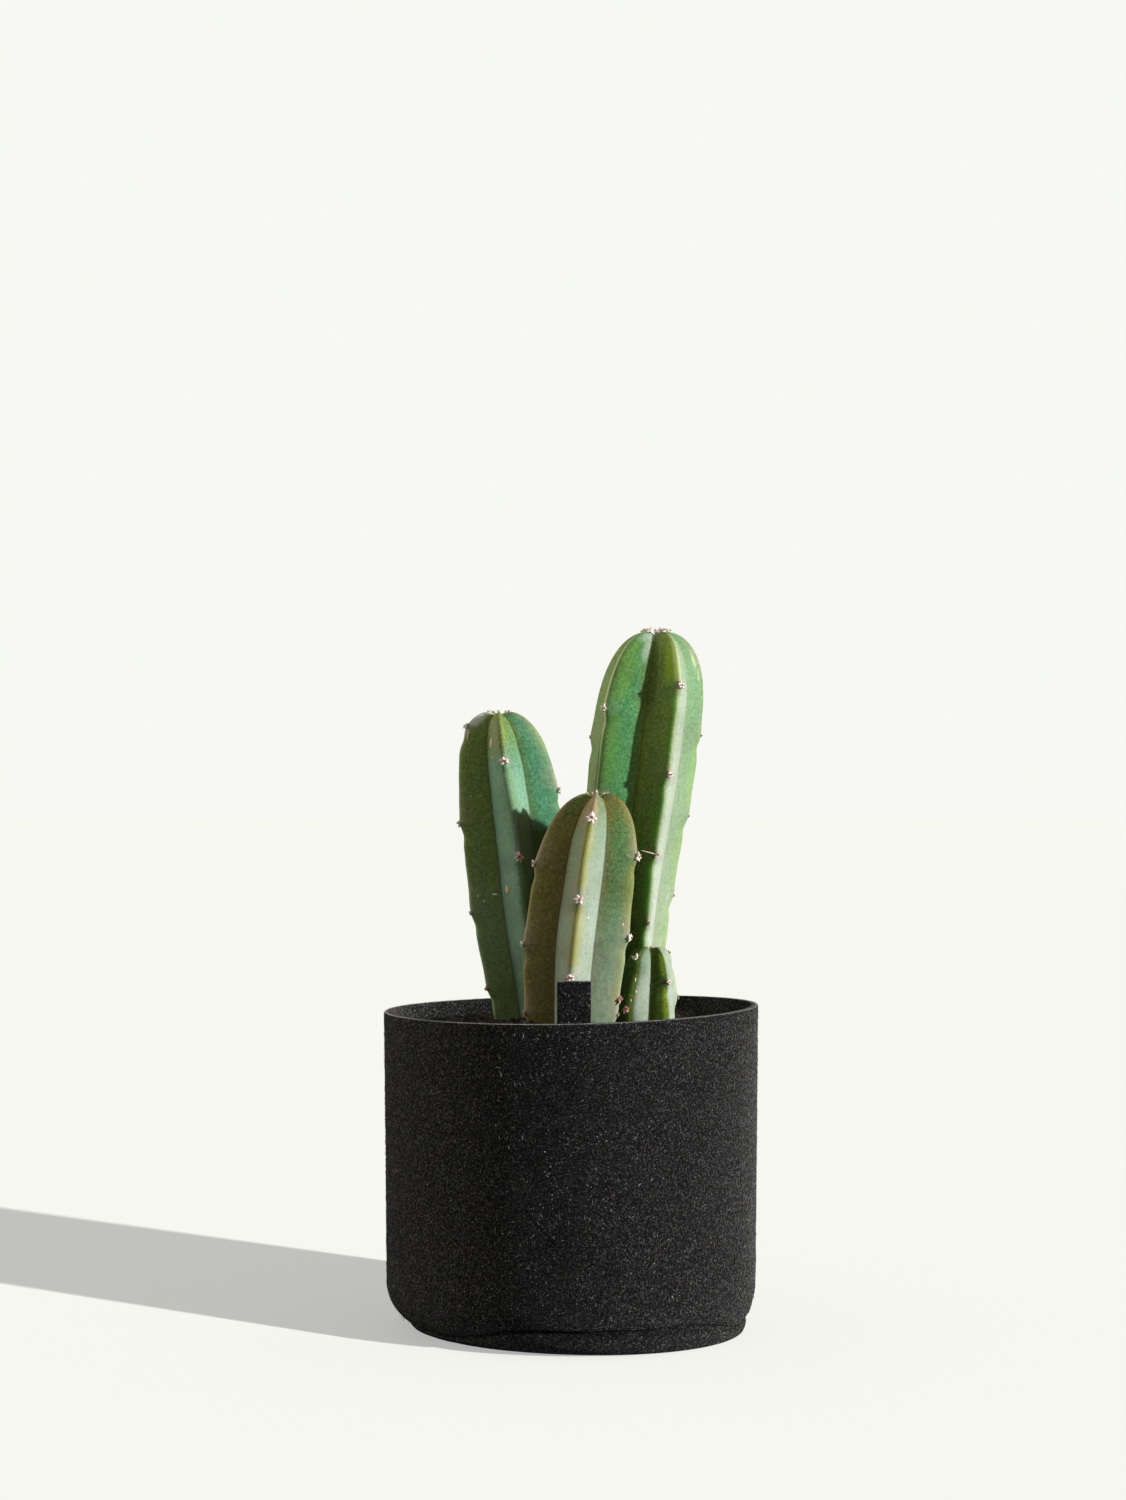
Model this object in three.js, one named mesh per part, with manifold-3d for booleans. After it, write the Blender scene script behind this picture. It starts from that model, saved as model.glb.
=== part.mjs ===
// Potted columnar cactus: four stems with five ribs each, standing in soil in a round felt pot.
// Millimetres, +Z up. The origin is the centre of the pot's underside, and -Y is the front.
import * as THREE from 'three';
import * as BufferGeometryUtils from 'three/addons/utils/BufferGeometryUtils.js';
import Module from 'manifold-3d';

const wasm = await Module();
wasm.setup();

// Driving dimensions of the pot
const RIM_RADIUS = 75;
const MID_RADIUS = 74.3;
const LOW_RADIUS = 73.9;
const CORNER_TURN_IN = 6;
const RIM_HEIGHT = 128;
const MID_HEIGHT = 64;
const CORNER_HEIGHT = 20;
const FELT = 3;
const EDGE_ROUNDING = 0.7;
const SLOPE_STEP = 0.1;
const SEAT_GAP = 0.3;
const POT_SIDES = 48;

// The foot's mean radius, and how the foot and the rim sway with the angle from the front towards +X
const FOOT_RADIUS = 61.5;
const FOOT_SWAY = { sine: 3.75, cosine: -2.75, doubleSine: 4, doubleCosine: -2.25 };
const RIM_SWAY = { sine: 1.4, cosine: 0.5, doubleSine: 0, doubleCosine: -0.4 };

// The seam between wall and base: its lowest height, and its rises by height, middle angle and half width
const SEAM_HEIGHT = 3;
const SEAM_RISES = [[7.6, 12, 45], [2.4, 95, 25], [5, 180, 60]];
const SEAM_TURN_IN = 0.5;
const WALL_STEPS = [2.5, 6];

// The base's bulging edge, and the hem that stands up inside the wall
const BASE_MIDDLE = 0.6;
const BULGE_ANGLES = [30, 60, 84];
const SHOULDER_TURN_IN = 0.6;
const HEM_FOOT = 3;
const HEM_HEIGHT = 7;
const HEM_BEND = 1.5;

// Driving dimensions of the felt tab inside the front wall
const TAB_WIDTH = 13;
const TAB_TOP = 144;
const TAB_BOTTOM = 112;
const TAB_CORNER = 1;
const TAB_TURN = 0.8;
const SLOT_CLEARANCE = 0.5;
const SLOT_THICKNESS = 8;
const SLOT_HEIGHT = 40;
const SLOT_INSET = 6;

// Driving dimensions of the soil
const SOIL_TOP = 123;
const SOIL_BUMP = 1.1;
const SOIL_WAVE_X = 9;
const SOIL_WAVE_Y = 11;
const SOIL_SHARES = [1, 0.85, 0.7, 0.45, 0.22];
const SOIL_FOOT_INSET = 4;
const SOIL_HEM_STEPS = [1, 0.4, 0.8];
const SOIL_WALL_STEP = 6;
const PLANTING_DEPTH = 34;
const PLANTING_GAP = 0.4;
const HOLE_TOP = 135;

// The soil sinks a little towards the wall, and more so on the left
const DISH_START = 42;
const DISH_WIDTH = 30;
const DISH_POWER = 1.5;
const DISH_DEPTH = 0.6;
const DISH_LEAN = 4.6;
const DISH_BACKWARD = 0.25;

// Driving dimensions shared by the stems, whose centre lines start just under the soil's surface
const LINE_START = 121;
const RIBS = 5;
const RIB_STEP = 360 / RIBS;
const CREST_ROUNDING = 5;
const FACE_BULGE = 0.03;
const TIP_DIP = 2;
const TIP_DIP_RADIUS = 3;
const ROW_STEP = 6.5;
const ROOT_TAPER = 0.8;
const ROOT_STEP = 14;

// Driving dimensions of the areoles, their wool and their spines
const WOOL_RADIUS = 1.7;
const WOOL_HEIGHT = 1.2;
const YOUNG_SIZE = 0.7;
const YOUNG_LEVEL = 83;
const SPINE_LENGTH = 2.3;
const SPINE_RADIUS = 0.34;
const SPINE_LEAN = 58;
const SPINES = 4;
const SPINE_ROOT = 0.8;
const NOTCH_DEPTH = 0.9;
const NOTCH_BELOW = 5;
const NOTCH_SPREAD = 3;
const NOTCH_WIDTH = 20;
const SHOULDER_HEIGHT = 0.5;
const SHOULDER_SPREAD = 5;

// Each stem's centre line and crest radius at equal steps of height from LINE_START to the tip; the tip's
// height; the dome's height and fullness; the turn of the first rib from the front towards +X; the twist
// over the stem; how many degrees each crest, and the groove after it, lies off an even spacing; each
// groove's share of the crest radius; and the heights of each rib's areoles
const STEMS = [
  {
    name: 'stem_tall',
    colour: 0x4f7a3c,
    line: [[20, 22], [22.3, 22.3], [28.5, 22.7], [34.8, 23]],
    radii: [14.4, 20, 23.4, 22.9],
    tip: 280.4,
    dome: 40,
    fullness: 2.6,
    turn: 30,
    twist: 1,
    sways: [0, 5, -3, -3, -2.5, -4, -5, -6, -6, 2.5],
    grooves: [0.68, 0.62, 0.62, 0.62, 0.54],
    areoles: [
      [257.7, 221.8, 189.5, 162, 135],
      [237.5, 204.5, 172, 141],
      [255, 220.5, 188, 157.5, 129],
      [237, 202.5, 170, 139.5],
      [248.5, 214, 181.5, 151],
    ],
  },
  {
    name: 'stem_left',
    colour: 0x456e45,
    line: [[-16.7, 19], [-21.2, 16], [-24.5, 13], [-29, 10]],
    radii: [16.5, 20.4, 21.4, 17.5],
    tip: 247.5,
    dome: 30,
    fullness: 2.8,
    turn: 15.7,
    twist: -18,
    sways: [0, 0, 0, 0, 0, 0, 0, 0, 0, 0],
    grooves: [0.58, 0.58, 0.58, 0.58, 0.58],
    areoles: [
      [227.2, 188.9, 153.1],
      [215.5, 177.2, 141.4],
      [232, 193.7, 157.9],
      [226, 187.7, 151.9],
      [241.2, 201.9, 165.7, 135.1],
    ],
  },
  {
    name: 'stem_middle',
    colour: 0x7a8a5c,
    line: [[0, -17], [1.9, -17], [5.8, -17], [10.4, -17]],
    radii: [18, 21.2, 21.1, 20.3],
    tip: 215,
    dome: 38,
    fullness: 2.5,
    turn: -3.5,
    twist: 0,
    sways: [0, 0, 0, 0, 0, 0, 0, 0, 0, 0],
    grooves: [0.58, 0.58, 0.58, 0.58, 0.58],
    areoles: [
      [205, 173.2, 142.9],
      [189.5, 157.7, 127.4],
      [200, 168.2, 137.9],
      [206, 174.2, 143.9],
      [186.8, 155, 127.6],
    ],
  },
  {
    name: 'stem_pup',
    colour: 0x6f9a4c,
    line: [[29.3, -9], [30.3, -9], [31.4, -9.2], [31.9, -9.5]],
    radii: [13.4, 12.8, 10.8, 11.6],
    tip: 154.2,
    dome: 16,
    fullness: 2.2,
    turn: -28,
    twist: -8,
    sways: [-8, 0, 0, 0, 0, 0, 0, 0, 0, 0],
    grooves: [0.62, 0.62, 0.62, 0.62, 0.62],
    areoles: [
      [149.3, 129],
      [139.7],
      [150.8, 132.8],
      [144],
      [142],
    ],
  },
];

// The columns of a stem's rings round one rib, and the rows up its dome, in degrees
const RIB_ANGLES = [0, 5, 20, 36, 52, 67];
const DOME_LEVELS = [14, 28, 41, 53, 64, 74, 82, 87];
const RIB_STARTS = Array.from({ length: RIBS }, (_, rib) => rib * RIB_STEP);
const STEM_ANGLES = RIB_STARTS.flatMap((start) => RIB_ANGLES.map((a) => start + a));

const radians = THREE.MathUtils.degToRad;
const degrees = THREE.MathUtils.radToDeg;

// Materials
function felt(colour) {
  return new THREE.MeshStandardMaterial({ color: colour, roughness: 0.95, metalness: 0 });
}

function matt(colour, roughness) {
  return new THREE.MeshStandardMaterial({ color: colour, roughness, metalness: 0 });
}

// A plateau around an angle in degrees, 1 at its middle and falling to 0 beyond its half width
function plateau(angle, middle, halfWidth) {
  const away = Math.abs(((angle - middle + 540) % 360) - 180);
  return 1 / (1 + (away / halfWidth) ** 6);
}

// A sum of waves round the pot, for an angle in degrees
function swayed(sway, angle) {
  const a = radians(angle);
  const single = sway.sine * Math.sin(a) + sway.cosine * Math.cos(a);
  return single + sway.doubleSine * Math.sin(2 * a) + sway.doubleCosine * Math.cos(2 * a);
}

// The pot's foot, seam and rim, by the angle from the front towards +X
function footRadius(angle) {
  return FOOT_RADIUS + swayed(FOOT_SWAY, angle);
}

function seamHeight(angle) {
  const rises = SEAM_RISES.map(([rise, middle, half]) => rise * plateau(angle, middle, half));
  return rises.reduce((sum, rise) => sum + rise, SEAM_HEIGHT);
}

function rimHeight(angle) {
  return RIM_HEIGHT + swayed(RIM_SWAY, angle);
}

// The wall's outer radius by height, its lower corner turned in as a quarter of an ellipse towards the foot
function wallRadius(angle, z) {
  if (z < CORNER_HEIGHT) {
    const drop = (CORNER_HEIGHT - z) / CORNER_HEIGHT;
    const turnedIn = footRadius(angle) - CORNER_TURN_IN;
    return turnedIn + (LOW_RADIUS - turnedIn) * Math.sqrt(1 - drop * drop);
  }
  if (z < MID_HEIGHT) {
    return THREE.MathUtils.mapLinear(z, CORNER_HEIGHT, MID_HEIGHT, LOW_RADIUS, MID_RADIUS);
  }
  return THREE.MathUtils.mapLinear(z, MID_HEIGHT, RIM_HEIGHT, MID_RADIUS, RIM_RADIUS);
}

// A point of the wall's section as [radius, height], a depth into the felt square to the outer face
function wallPoint(angle, z, depth) {
  const rise = wallRadius(angle, z + SLOPE_STEP) - wallRadius(angle, z - SLOPE_STEP);
  const slope = rise / (2 * SLOPE_STEP);
  const length = Math.hypot(1, slope);
  return [wallRadius(angle, z) - depth / length, z + (depth * slope) / length];
}

// Turns a section point at an angle from the front towards +X into a place
function place(angle, [radius, height]) {
  const a = radians(angle);
  return new THREE.Vector3(radius * Math.sin(a), -radius * Math.cos(a), height);
}

// A closed body from rings of equal length: each ring joins the next, and a ring of one point is a pole
function lofted(rings, looped = false) {
  const positions = [];
  const index = [];
  const starts = [];
  for (const ring of rings) {
    starts.push(positions.length / 3);
    for (const p of ring) {
      positions.push(p.x, p.y, p.z);
    }
  }
  const joins = looped ? rings.length : rings.length - 1;
  for (let j = 0; j < joins; j += 1) {
    const next = (j + 1) % rings.length;
    const around = Math.max(rings[j].length, rings[next].length);
    for (let i = 0; i < around; i += 1) {
      const k = (i + 1) % around;
      const below = starts[j];
      const low = rings[j].length > 1 ? [below + i, below + k] : [below, below];
      const above = starts[next];
      const high = rings[next].length > 1 ? [above + i, above + k] : [above, above];
      if (low[0] !== low[1]) {
        index.push(low[0], low[1], high[1]);
      }
      if (high[0] !== high[1]) {
        index.push(low[0], high[1], high[0]);
      }
    }
  }
  const geometry = new THREE.BufferGeometry();
  geometry.setAttribute('position', new THREE.Float32BufferAttribute(positions, 3));
  geometry.setIndex(index);
  return geometry;
}

// Boolean solids and back
function solid(geometry) {
  const bare = geometry.clone();
  bare.deleteAttribute('normal');
  bare.deleteAttribute('uv');
  const merged = BufferGeometryUtils.mergeVertices(bare, 1e-4);
  return new wasm.Manifold(new wasm.Mesh({
    numProp: 3,
    vertProperties: new Float32Array(merged.attributes.position.array),
    triVerts: new Uint32Array(merged.index.array),
  }));
}

function geometryOf(manifold) {
  const mesh = manifold.getMesh();
  const geometry = new THREE.BufferGeometry();
  const positions = new Float32Array(mesh.vertProperties);
  geometry.setAttribute('position', new THREE.BufferAttribute(positions, 3));
  geometry.setIndex(new THREE.BufferAttribute(new Uint32Array(mesh.triVerts), 1));
  return geometry;
}

function named(name, geometry, material) {
  const mesh = new THREE.Mesh(geometry, material);
  mesh.name = name;
  return mesh;
}

// Angles around the pot, from the front towards +X
function potAngles() {
  return Array.from({ length: POT_SIDES }, (_, i) => (i * 360) / POT_SIDES);
}

// Rings around the pot from a section that may change with the angle
function potRings(section) {
  const columns = potAngles().map((angle) => section(angle).map((p) => place(angle, p)));
  const rings = [];
  for (let j = 0; j < columns[0].length; j += 1) {
    const ring = columns.map((column) => column[j]);
    rings.push(ring[0].distanceTo(ring[1]) > 0 ? ring : [ring[0]]);
  }
  return rings;
}

// Felt wall: an open band from the seam to the rim, with its inner face one felt's thickness in
function feltWall() {
  const section = (angle) => {
    const seam = seamHeight(angle);
    const rim = rimHeight(angle);
    const heights = [...WALL_STEPS.map((z) => seam + z), CORNER_HEIGHT, MID_HEIGHT, rim - EDGE_ROUNDING];
    return [
      wallPoint(angle, seam, SEAM_TURN_IN),
      ...heights.map((z) => wallPoint(angle, z, 0)),
      [wallRadius(angle, rim) - EDGE_ROUNDING, rim],
      [wallRadius(angle, rim) - FELT + EDGE_ROUNDING, rim],
      ...heights.reverse().map((z) => wallPoint(angle, z, FELT)),
      wallPoint(angle, seam, FELT),
    ];
  };
  return named('felt_wall', lofted(potRings(section), true), felt(0x232427));
}

// Felt base: a disc whose edge bulges up to the seam and tucks in behind the wall as a hem
function feltBase() {
  const section = (angle) => {
    const seam = seamHeight(angle);
    const foot = footRadius(angle);
    const shoulder = wallPoint(angle, seam, SHOULDER_TURN_IN);
    const band = BULGE_ANGLES.map((a) => [
      foot + (shoulder[0] - foot) * Math.sin(radians(a)),
      (shoulder[1] - SEAT_GAP) * (1 - Math.cos(radians(a))),
    ]);
    const tucked = wallPoint(angle, seam, FELT + SEAT_GAP);
    const hemInside = 2 * FELT + SEAT_GAP;
    const bend = band[1];
    return [
      [0, 0],
      [foot * BASE_MIDDLE, 0],
      [foot, 0],
      ...band,
      [tucked[0], tucked[1] - SEAT_GAP],
      wallPoint(angle, seam + HEM_FOOT, FELT + SEAT_GAP),
      wallPoint(angle, seam + HEM_HEIGHT, FELT + SEAT_GAP),
      wallPoint(angle, seam + HEM_HEIGHT, hemInside),
      [Math.min(bend[0], tucked[0]) - HEM_BEND, bend[1] + FELT],
      [foot - FELT, FELT],
      [foot * BASE_MIDDLE, FELT],
      [0, FELT],
    ];
  };
  return named('felt_base', lofted(potRings(section)), felt(0x1f2023));
}

// Felt tab: a flat strip with two rounded top corners, standing against the inside of the front wall
function feltTab() {
  const half = TAB_WIDTH / 2;
  const outline = new THREE.Shape();
  outline.moveTo(-half, TAB_BOTTOM);
  outline.lineTo(half, TAB_BOTTOM);
  outline.lineTo(half, TAB_TOP - TAB_CORNER);
  outline.quadraticCurveTo(half, TAB_TOP, half - TAB_CORNER, TAB_TOP);
  outline.lineTo(-half + TAB_CORNER, TAB_TOP);
  outline.quadraticCurveTo(-half, TAB_TOP, -half, TAB_TOP - TAB_CORNER);
  outline.closePath();
  const settings = { depth: FELT, bevelEnabled: false, curveSegments: 4 };
  const mesh = named('felt_tab', new THREE.ExtrudeGeometry(outline, settings), felt(0x26272a));
  const wallFace = wallRadius(TAB_TURN, TAB_BOTTOM) - FELT;
  const flatness = wallFace - Math.sqrt(wallFace * wallFace - half * half);
  mesh.rotation.set(Math.PI / 2, 0, radians(TAB_TURN), 'ZYX');
  const back = wallFace - flatness - SEAT_GAP - FELT;
  mesh.position.copy(place(TAB_TURN, [back, 0]));
  return mesh;
}

// Stems: the crest radius is set by height, and the groove and the faces by the angle from the crest
function stemLine(stem) {
  const step = (stem.tip - LINE_START) / (stem.line.length - 1);
  return new THREE.CatmullRomCurve3(
    stem.line.map(([x, y], i) => new THREE.Vector3(x, y, LINE_START + i * step)), false, 'catmullrom', 0.5);
}

function stemRadii(stem) {
  return new THREE.CatmullRomCurve3(
    stem.radii.map((r) => new THREE.Vector3(r, 0, 0)), false, 'catmullrom', 0.5);
}

function relativeRadius(offCrest, groove) {
  const half = radians(RIB_STEP / 2);
  const rounding = radians(CREST_ROUNDING);
  const a = Math.sqrt(offCrest * offCrest + rounding * rounding) - rounding;
  const face = (groove * Math.sin(half)) / (Math.sin(a) + groove * Math.sin(half - a));
  return face + FACE_BULGE * Math.sin((Math.PI * Math.min(offCrest, half)) / half);
}

// How many degrees a stem's skin lies off an even spacing of its ribs
function ribSway(stem, angle) {
  const steps = stem.sways.length;
  const at = THREE.MathUtils.euclideanModulo((angle / 360) * steps, steps);
  const from = Math.floor(at);
  return THREE.MathUtils.lerp(stem.sways[from], stem.sways[(from + 1) % steps], at - from);
}

// The crest swells at each areole and steps in just below it
function crestRelief(stem, rib, z) {
  let relief = 0;
  for (const areole of stem.areoles[rib]) {
    const above = z - areole;
    relief += SHOULDER_HEIGHT * Math.exp(-((above / SHOULDER_SPREAD) ** 2));
    relief -= NOTCH_DEPTH * Math.exp(-(((above + NOTCH_BELOW) / NOTCH_SPREAD) ** 2));
  }
  return relief;
}

// A point of a stem's skin. The angle is counted from the first rib's crest. The level is a height below
// the dome in millimetres when negative, or an angle up the dome in degrees when positive
function skinPoint(stem, angle, level, swell = 0) {
  const domeBase = stem.tip - stem.dome;
  const up = level > 0 ? Math.sin(radians(level)) : 0;
  const z = level > 0 ? domeBase + stem.dome * up : domeBase + level;
  const t = THREE.MathUtils.clamp((z - LINE_START) / (stem.tip - LINE_START), 0, 1);
  const centre = stemLine(stem).getPoint(t);
  const buried = Math.max(0, SOIL_TOP - z) / PLANTING_DEPTH;
  const domed = (1 - up ** stem.fullness) ** (1 / stem.fullness);
  const narrowing = domed * (1 - (1 - ROOT_TAPER) * buried);
  const crest = stemRadii(stem).getPoint(t).x * narrowing;
  const nearest = Math.round(angle / RIB_STEP);
  const rib = (nearest + RIBS) % RIBS;
  const fromCrest = angle - nearest * RIB_STEP;
  const offCrest = Math.abs(radians(fromCrest));
  const groove = stem.grooves[fromCrest < 0 ? (rib + RIBS - 1) % RIBS : rib];
  const relative = relativeRadius(offCrest, groove);
  const onCrest = Math.max(0, 1 - degrees(offCrest) / NOTCH_WIDTH);
  const relief = buried > 0 ? 0 : crestRelief(stem, rib, z) * onCrest * narrowing;
  const radius = crest * relative + relief + swell;
  const inGroove = (1 - relative) / (1 - groove);
  const hollow = Math.exp(-((crest / TIP_DIP_RADIUS) ** 2));
  const dip = TIP_DIP * (inGroove * up * up + (1 - inGroove) * hollow);
  const turn = radians(stem.turn + stem.twist * t + angle + ribSway(stem, angle));
  const x = centre.x + radius * Math.sin(turn);
  const y = centre.y - radius * Math.cos(turn);
  return new THREE.Vector3(x, y, z - dip);
}

function levelOf(stem, z) {
  const aboveBase = z - (stem.tip - stem.dome);
  return aboveBase > 0 ? degrees(Math.asin(aboveBase / stem.dome)) : aboveBase;
}

function middleOf(ring) {
  const sum = new THREE.Vector3();
  ring.forEach((p) => sum.add(p));
  return sum.divideScalar(ring.length);
}

// A stem's skin, swollen by an even thickness and cut off level at a height where those are given
function stemBody(stem, swell = 0, top = stem.tip) {
  const bottom = SOIL_TOP - PLANTING_DEPTH - (stem.tip - stem.dome) - swell;
  const levels = [bottom, bottom + ROOT_STEP, bottom + PLANTING_DEPTH + swell];
  const bodyHeight = stem.tip - stem.dome - SOIL_TOP;
  const rows = Math.max(2, Math.round(bodyHeight / ROW_STEP));
  for (let i = 1; i <= rows; i += 1) {
    levels.push(-bodyHeight + (bodyHeight * i) / rows);
  }
  if (top === stem.tip) {
    levels.push(...DOME_LEVELS);
  }
  const kept = levels.filter((level) => level > 0 || stem.tip - stem.dome + level <= top);
  const rings = kept.map((level) => STEM_ANGLES.map((angle) => skinPoint(stem, angle, level, swell)));
  const first = [middleOf(rings[0])];
  const last = top === stem.tip ? [skinPoint(stem, 0, 90)] : [middleOf(rings.at(-1))];
  return lofted([first, ...rings, last]);
}

// Areole: a low woolly cushion with a few short spines leaning out evenly round it, sunk into the crest
function areoleAt(stem, rib, level, size = 1) {
  const angle = rib * RIB_STEP;
  const at = skinPoint(stem, angle, level);
  const along = skinPoint(stem, angle, level + 0.5).sub(at).normalize();
  const across = skinPoint(stem, angle + 1, level).sub(skinPoint(stem, angle - 1, level)).normalize();
  const out = across.clone().cross(along).normalize();
  const frame = new THREE.Matrix4().makeBasis(across, out.clone().cross(across), out).setPosition(at);
  const wool = new THREE.IcosahedronGeometry(size, 0).scale(WOOL_RADIUS, WOOL_RADIUS, WOOL_HEIGHT);
  let joined = solid(wool.applyMatrix4(frame));
  for (let i = 0; i < SPINES; i += 1) {
    const spine = new THREE.ConeGeometry(SPINE_RADIUS, SPINE_LENGTH + SPINE_ROOT, 3);
    spine.translate(0, (SPINE_LENGTH + SPINE_ROOT) / 2, 0).rotateX(Math.PI / 2);
    spine.rotateX(-radians(SPINE_LEAN)).rotateZ(((i + 0.5) * 2 * Math.PI) / SPINES).scale(size, size, size);
    joined = joined.add(solid(spine.applyMatrix4(frame)));
  }
  return joined;
}

function stemSolid(stem) {
  let body = solid(stemBody(stem));
  for (let rib = 0; rib < RIBS; rib += 1) {
    for (const z of stem.areoles[rib]) {
      body = body.add(areoleAt(stem, rib, levelOf(stem, z)));
    }
    body = body.add(areoleAt(stem, rib, YOUNG_LEVEL, YOUNG_SIZE));
  }
  return body;
}

// Soil: fills the pot above the base and inside the hem, with a hole for each stem and a slot for the tab
function soilTop(x, y) {
  const waves = Math.sin(x / SOIL_WAVE_X + 1) * Math.cos(y / SOIL_WAVE_Y);
  const ripples = Math.sin((2 * x) / SOIL_WAVE_X - (2 * y) / SOIL_WAVE_Y) / 2;
  const away = Math.max(Math.hypot(x, y), 1);
  const outward = THREE.MathUtils.clamp((away - DISH_START) / DISH_WIDTH, 0, 1) ** DISH_POWER;
  const leftward = Math.max(0, (DISH_BACKWARD * y - x) / away);
  return SOIL_TOP + SOIL_BUMP * (waves + ripples) - outward * (DISH_DEPTH + DISH_LEAN * leftward);
}

function soil() {
  const section = (angle) => {
    const seam = seamHeight(angle);
    const hemInside = 2 * FELT + 2 * SEAT_GAP;
    const hemTop = seam + HEM_HEIGHT + SEAT_GAP;
    const wallInside = FELT + SEAT_GAP;
    const reach = wallPoint(angle, SOIL_TOP, wallInside)[0];
    const top = SOIL_SHARES.map((share) => {
      const p = place(angle, [reach * share, 0]);
      return [reach * share, soilTop(p.x, p.y)];
    });
    const low = wallPoint(angle, hemTop, hemInside);
    return [
      [0, FELT + SEAT_GAP],
      [footRadius(angle) - FELT - SOIL_FOOT_INSET, FELT + SEAT_GAP],
      [low[0] - SOIL_FOOT_INSET, low[1] - SOIL_HEM_STEPS[0]],
      [low[0], low[1] + SOIL_HEM_STEPS[1]],
      [wallPoint(angle, hemTop, wallInside)[0], low[1] + SOIL_HEM_STEPS[2]],
      wallPoint(angle, CORNER_HEIGHT + SOIL_WALL_STEP, wallInside),
      wallPoint(angle, MID_HEIGHT, wallInside),
      ...top,
      [0, soilTop(0, 0)],
    ];
  };
  let filled = solid(lofted(potRings(section)));
  for (const stem of STEMS) {
    filled = filled.subtract(solid(stemBody(stem, PLANTING_GAP, HOLE_TOP)));
  }
  const slot = new THREE.BoxGeometry(TAB_WIDTH + 2 * SLOT_CLEARANCE, SLOT_THICKNESS, SLOT_HEIGHT);
  slot.translate(0, SLOT_INSET - RIM_RADIUS, TAB_BOTTOM - SEAT_GAP + SLOT_HEIGHT / 2);
  slot.rotateZ(radians(TAB_TURN));
  return named('soil', geometryOf(filled.subtract(solid(slot))), matt(0x3a2721, 1));
}

const pottedCactus = new THREE.Group();
pottedCactus.name = 'potted_cactus';
pottedCactus.add(feltWall(), feltBase(), feltTab(), soil());
for (const stem of STEMS) {
  pottedCactus.add(named(stem.name, geometryOf(stemSolid(stem)), matt(stem.colour, 0.55)));
}

export default pottedCactus;
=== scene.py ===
# Looks of the potted columnar cactus: fine ribbed stems with wool and spines, needled felt, crumbly soil.
import math
import bpy
import numpy as np
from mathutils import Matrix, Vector


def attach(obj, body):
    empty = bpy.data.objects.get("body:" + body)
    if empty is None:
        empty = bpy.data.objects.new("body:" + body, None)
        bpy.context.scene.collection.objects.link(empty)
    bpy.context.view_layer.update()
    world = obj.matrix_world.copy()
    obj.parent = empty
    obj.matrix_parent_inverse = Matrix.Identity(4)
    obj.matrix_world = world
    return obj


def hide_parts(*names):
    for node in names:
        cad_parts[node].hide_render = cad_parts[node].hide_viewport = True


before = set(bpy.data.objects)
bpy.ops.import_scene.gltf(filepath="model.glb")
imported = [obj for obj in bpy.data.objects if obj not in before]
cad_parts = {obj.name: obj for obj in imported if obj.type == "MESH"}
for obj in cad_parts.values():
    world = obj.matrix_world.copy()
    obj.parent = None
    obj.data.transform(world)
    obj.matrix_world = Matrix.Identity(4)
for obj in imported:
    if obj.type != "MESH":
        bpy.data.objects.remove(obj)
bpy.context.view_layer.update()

# Lengths are in millimetres up to the making of each mesh, and angles in degrees. Angles round the pot and
# the stems are counted from the front, -Y, towards +X.
MM = 0.001

# Pot. Its foot's radius and its rim's height sway with the sine and cosine of the angle and of twice it.
RIM_RADIUS = 75
MID_RADIUS = 74.3
LOW_RADIUS = 73.9
FOOT_RADIUS = 61.5
FOOT_SWAY = (3.75, -2.75, 4, -2.25)
CORNER_TURN_IN = 6
RIM_HEIGHT = 128
RIM_SWAY = (1.4, 0.5, 0, -0.4)
MID_HEIGHT = 64
CORNER_HEIGHT = 20
FELT = 3
EDGE_ROUNDING = 0.4
SEAT_GAP = 0.3
HEM_HEIGHT = 7
BASE_BULGE = 0.175
TAB_WIDTH = 13
TAB_TOP = 144
TAB_BOTTOM = 112
TAB_TURN = 0.8
TAB_CORNER = 0.6
POT_LENGTH = 2 * math.pi * RIM_RADIUS

# The seam's lowest height, how it rises round the pot and how plain its crease is there, in depth and in
# painted shade: value, middle angle and half width. Then the wall's rows just over it: height over the seam
# and share of its depth.
SEAM_LOW = 3
SEAM_LIFTS = [(7.6, 12, 45), (2.4, 95, 25), (5, 180, 60)]
SEAM_MARKS = [(1, 37, 65), (0.7, 180, 60)]
SEAM_ROLL = [(0.2, 0.75), (0.45, 0.4), (0.8, 0.2), (1.3, 0.07), (2, 0.0)]
# Painted shade of the crease on the wall's lowest rows, as shares of its strength round the pot
PAINTED_SEAM_SHADES = (1, 1, 0.9, 0.5, 0.12)

# Short folds in the wall above the seam: angle and height of both ends, and depth
FOLDS = [(-43.5, 12.9, -37, 12.0, 0.5), (-35.5, 13.6, -26.5, 10.6, 0.6), (52, 9.5, 66, 8.4, 0.3)]

# Relief of the felt and the soil: height and cell size of each layer of noise
FELT_RELIEF = [(0.16, 24), (0.1, 7), (0.09, 2.6), (0.06, 1.4)]
SOIL_RELIEF = [(0.55, 3.2), (0.4, 1.7), (0.28, 0.9)]

# Soil and loose bits
SOIL_TOP = 123
SOIL_BUMP = 1.1
PLANTING_DEPTH = 34
CRUMBS = 1500
CRUMB_REACH = 71.3
FIBRES = 11000

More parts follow.
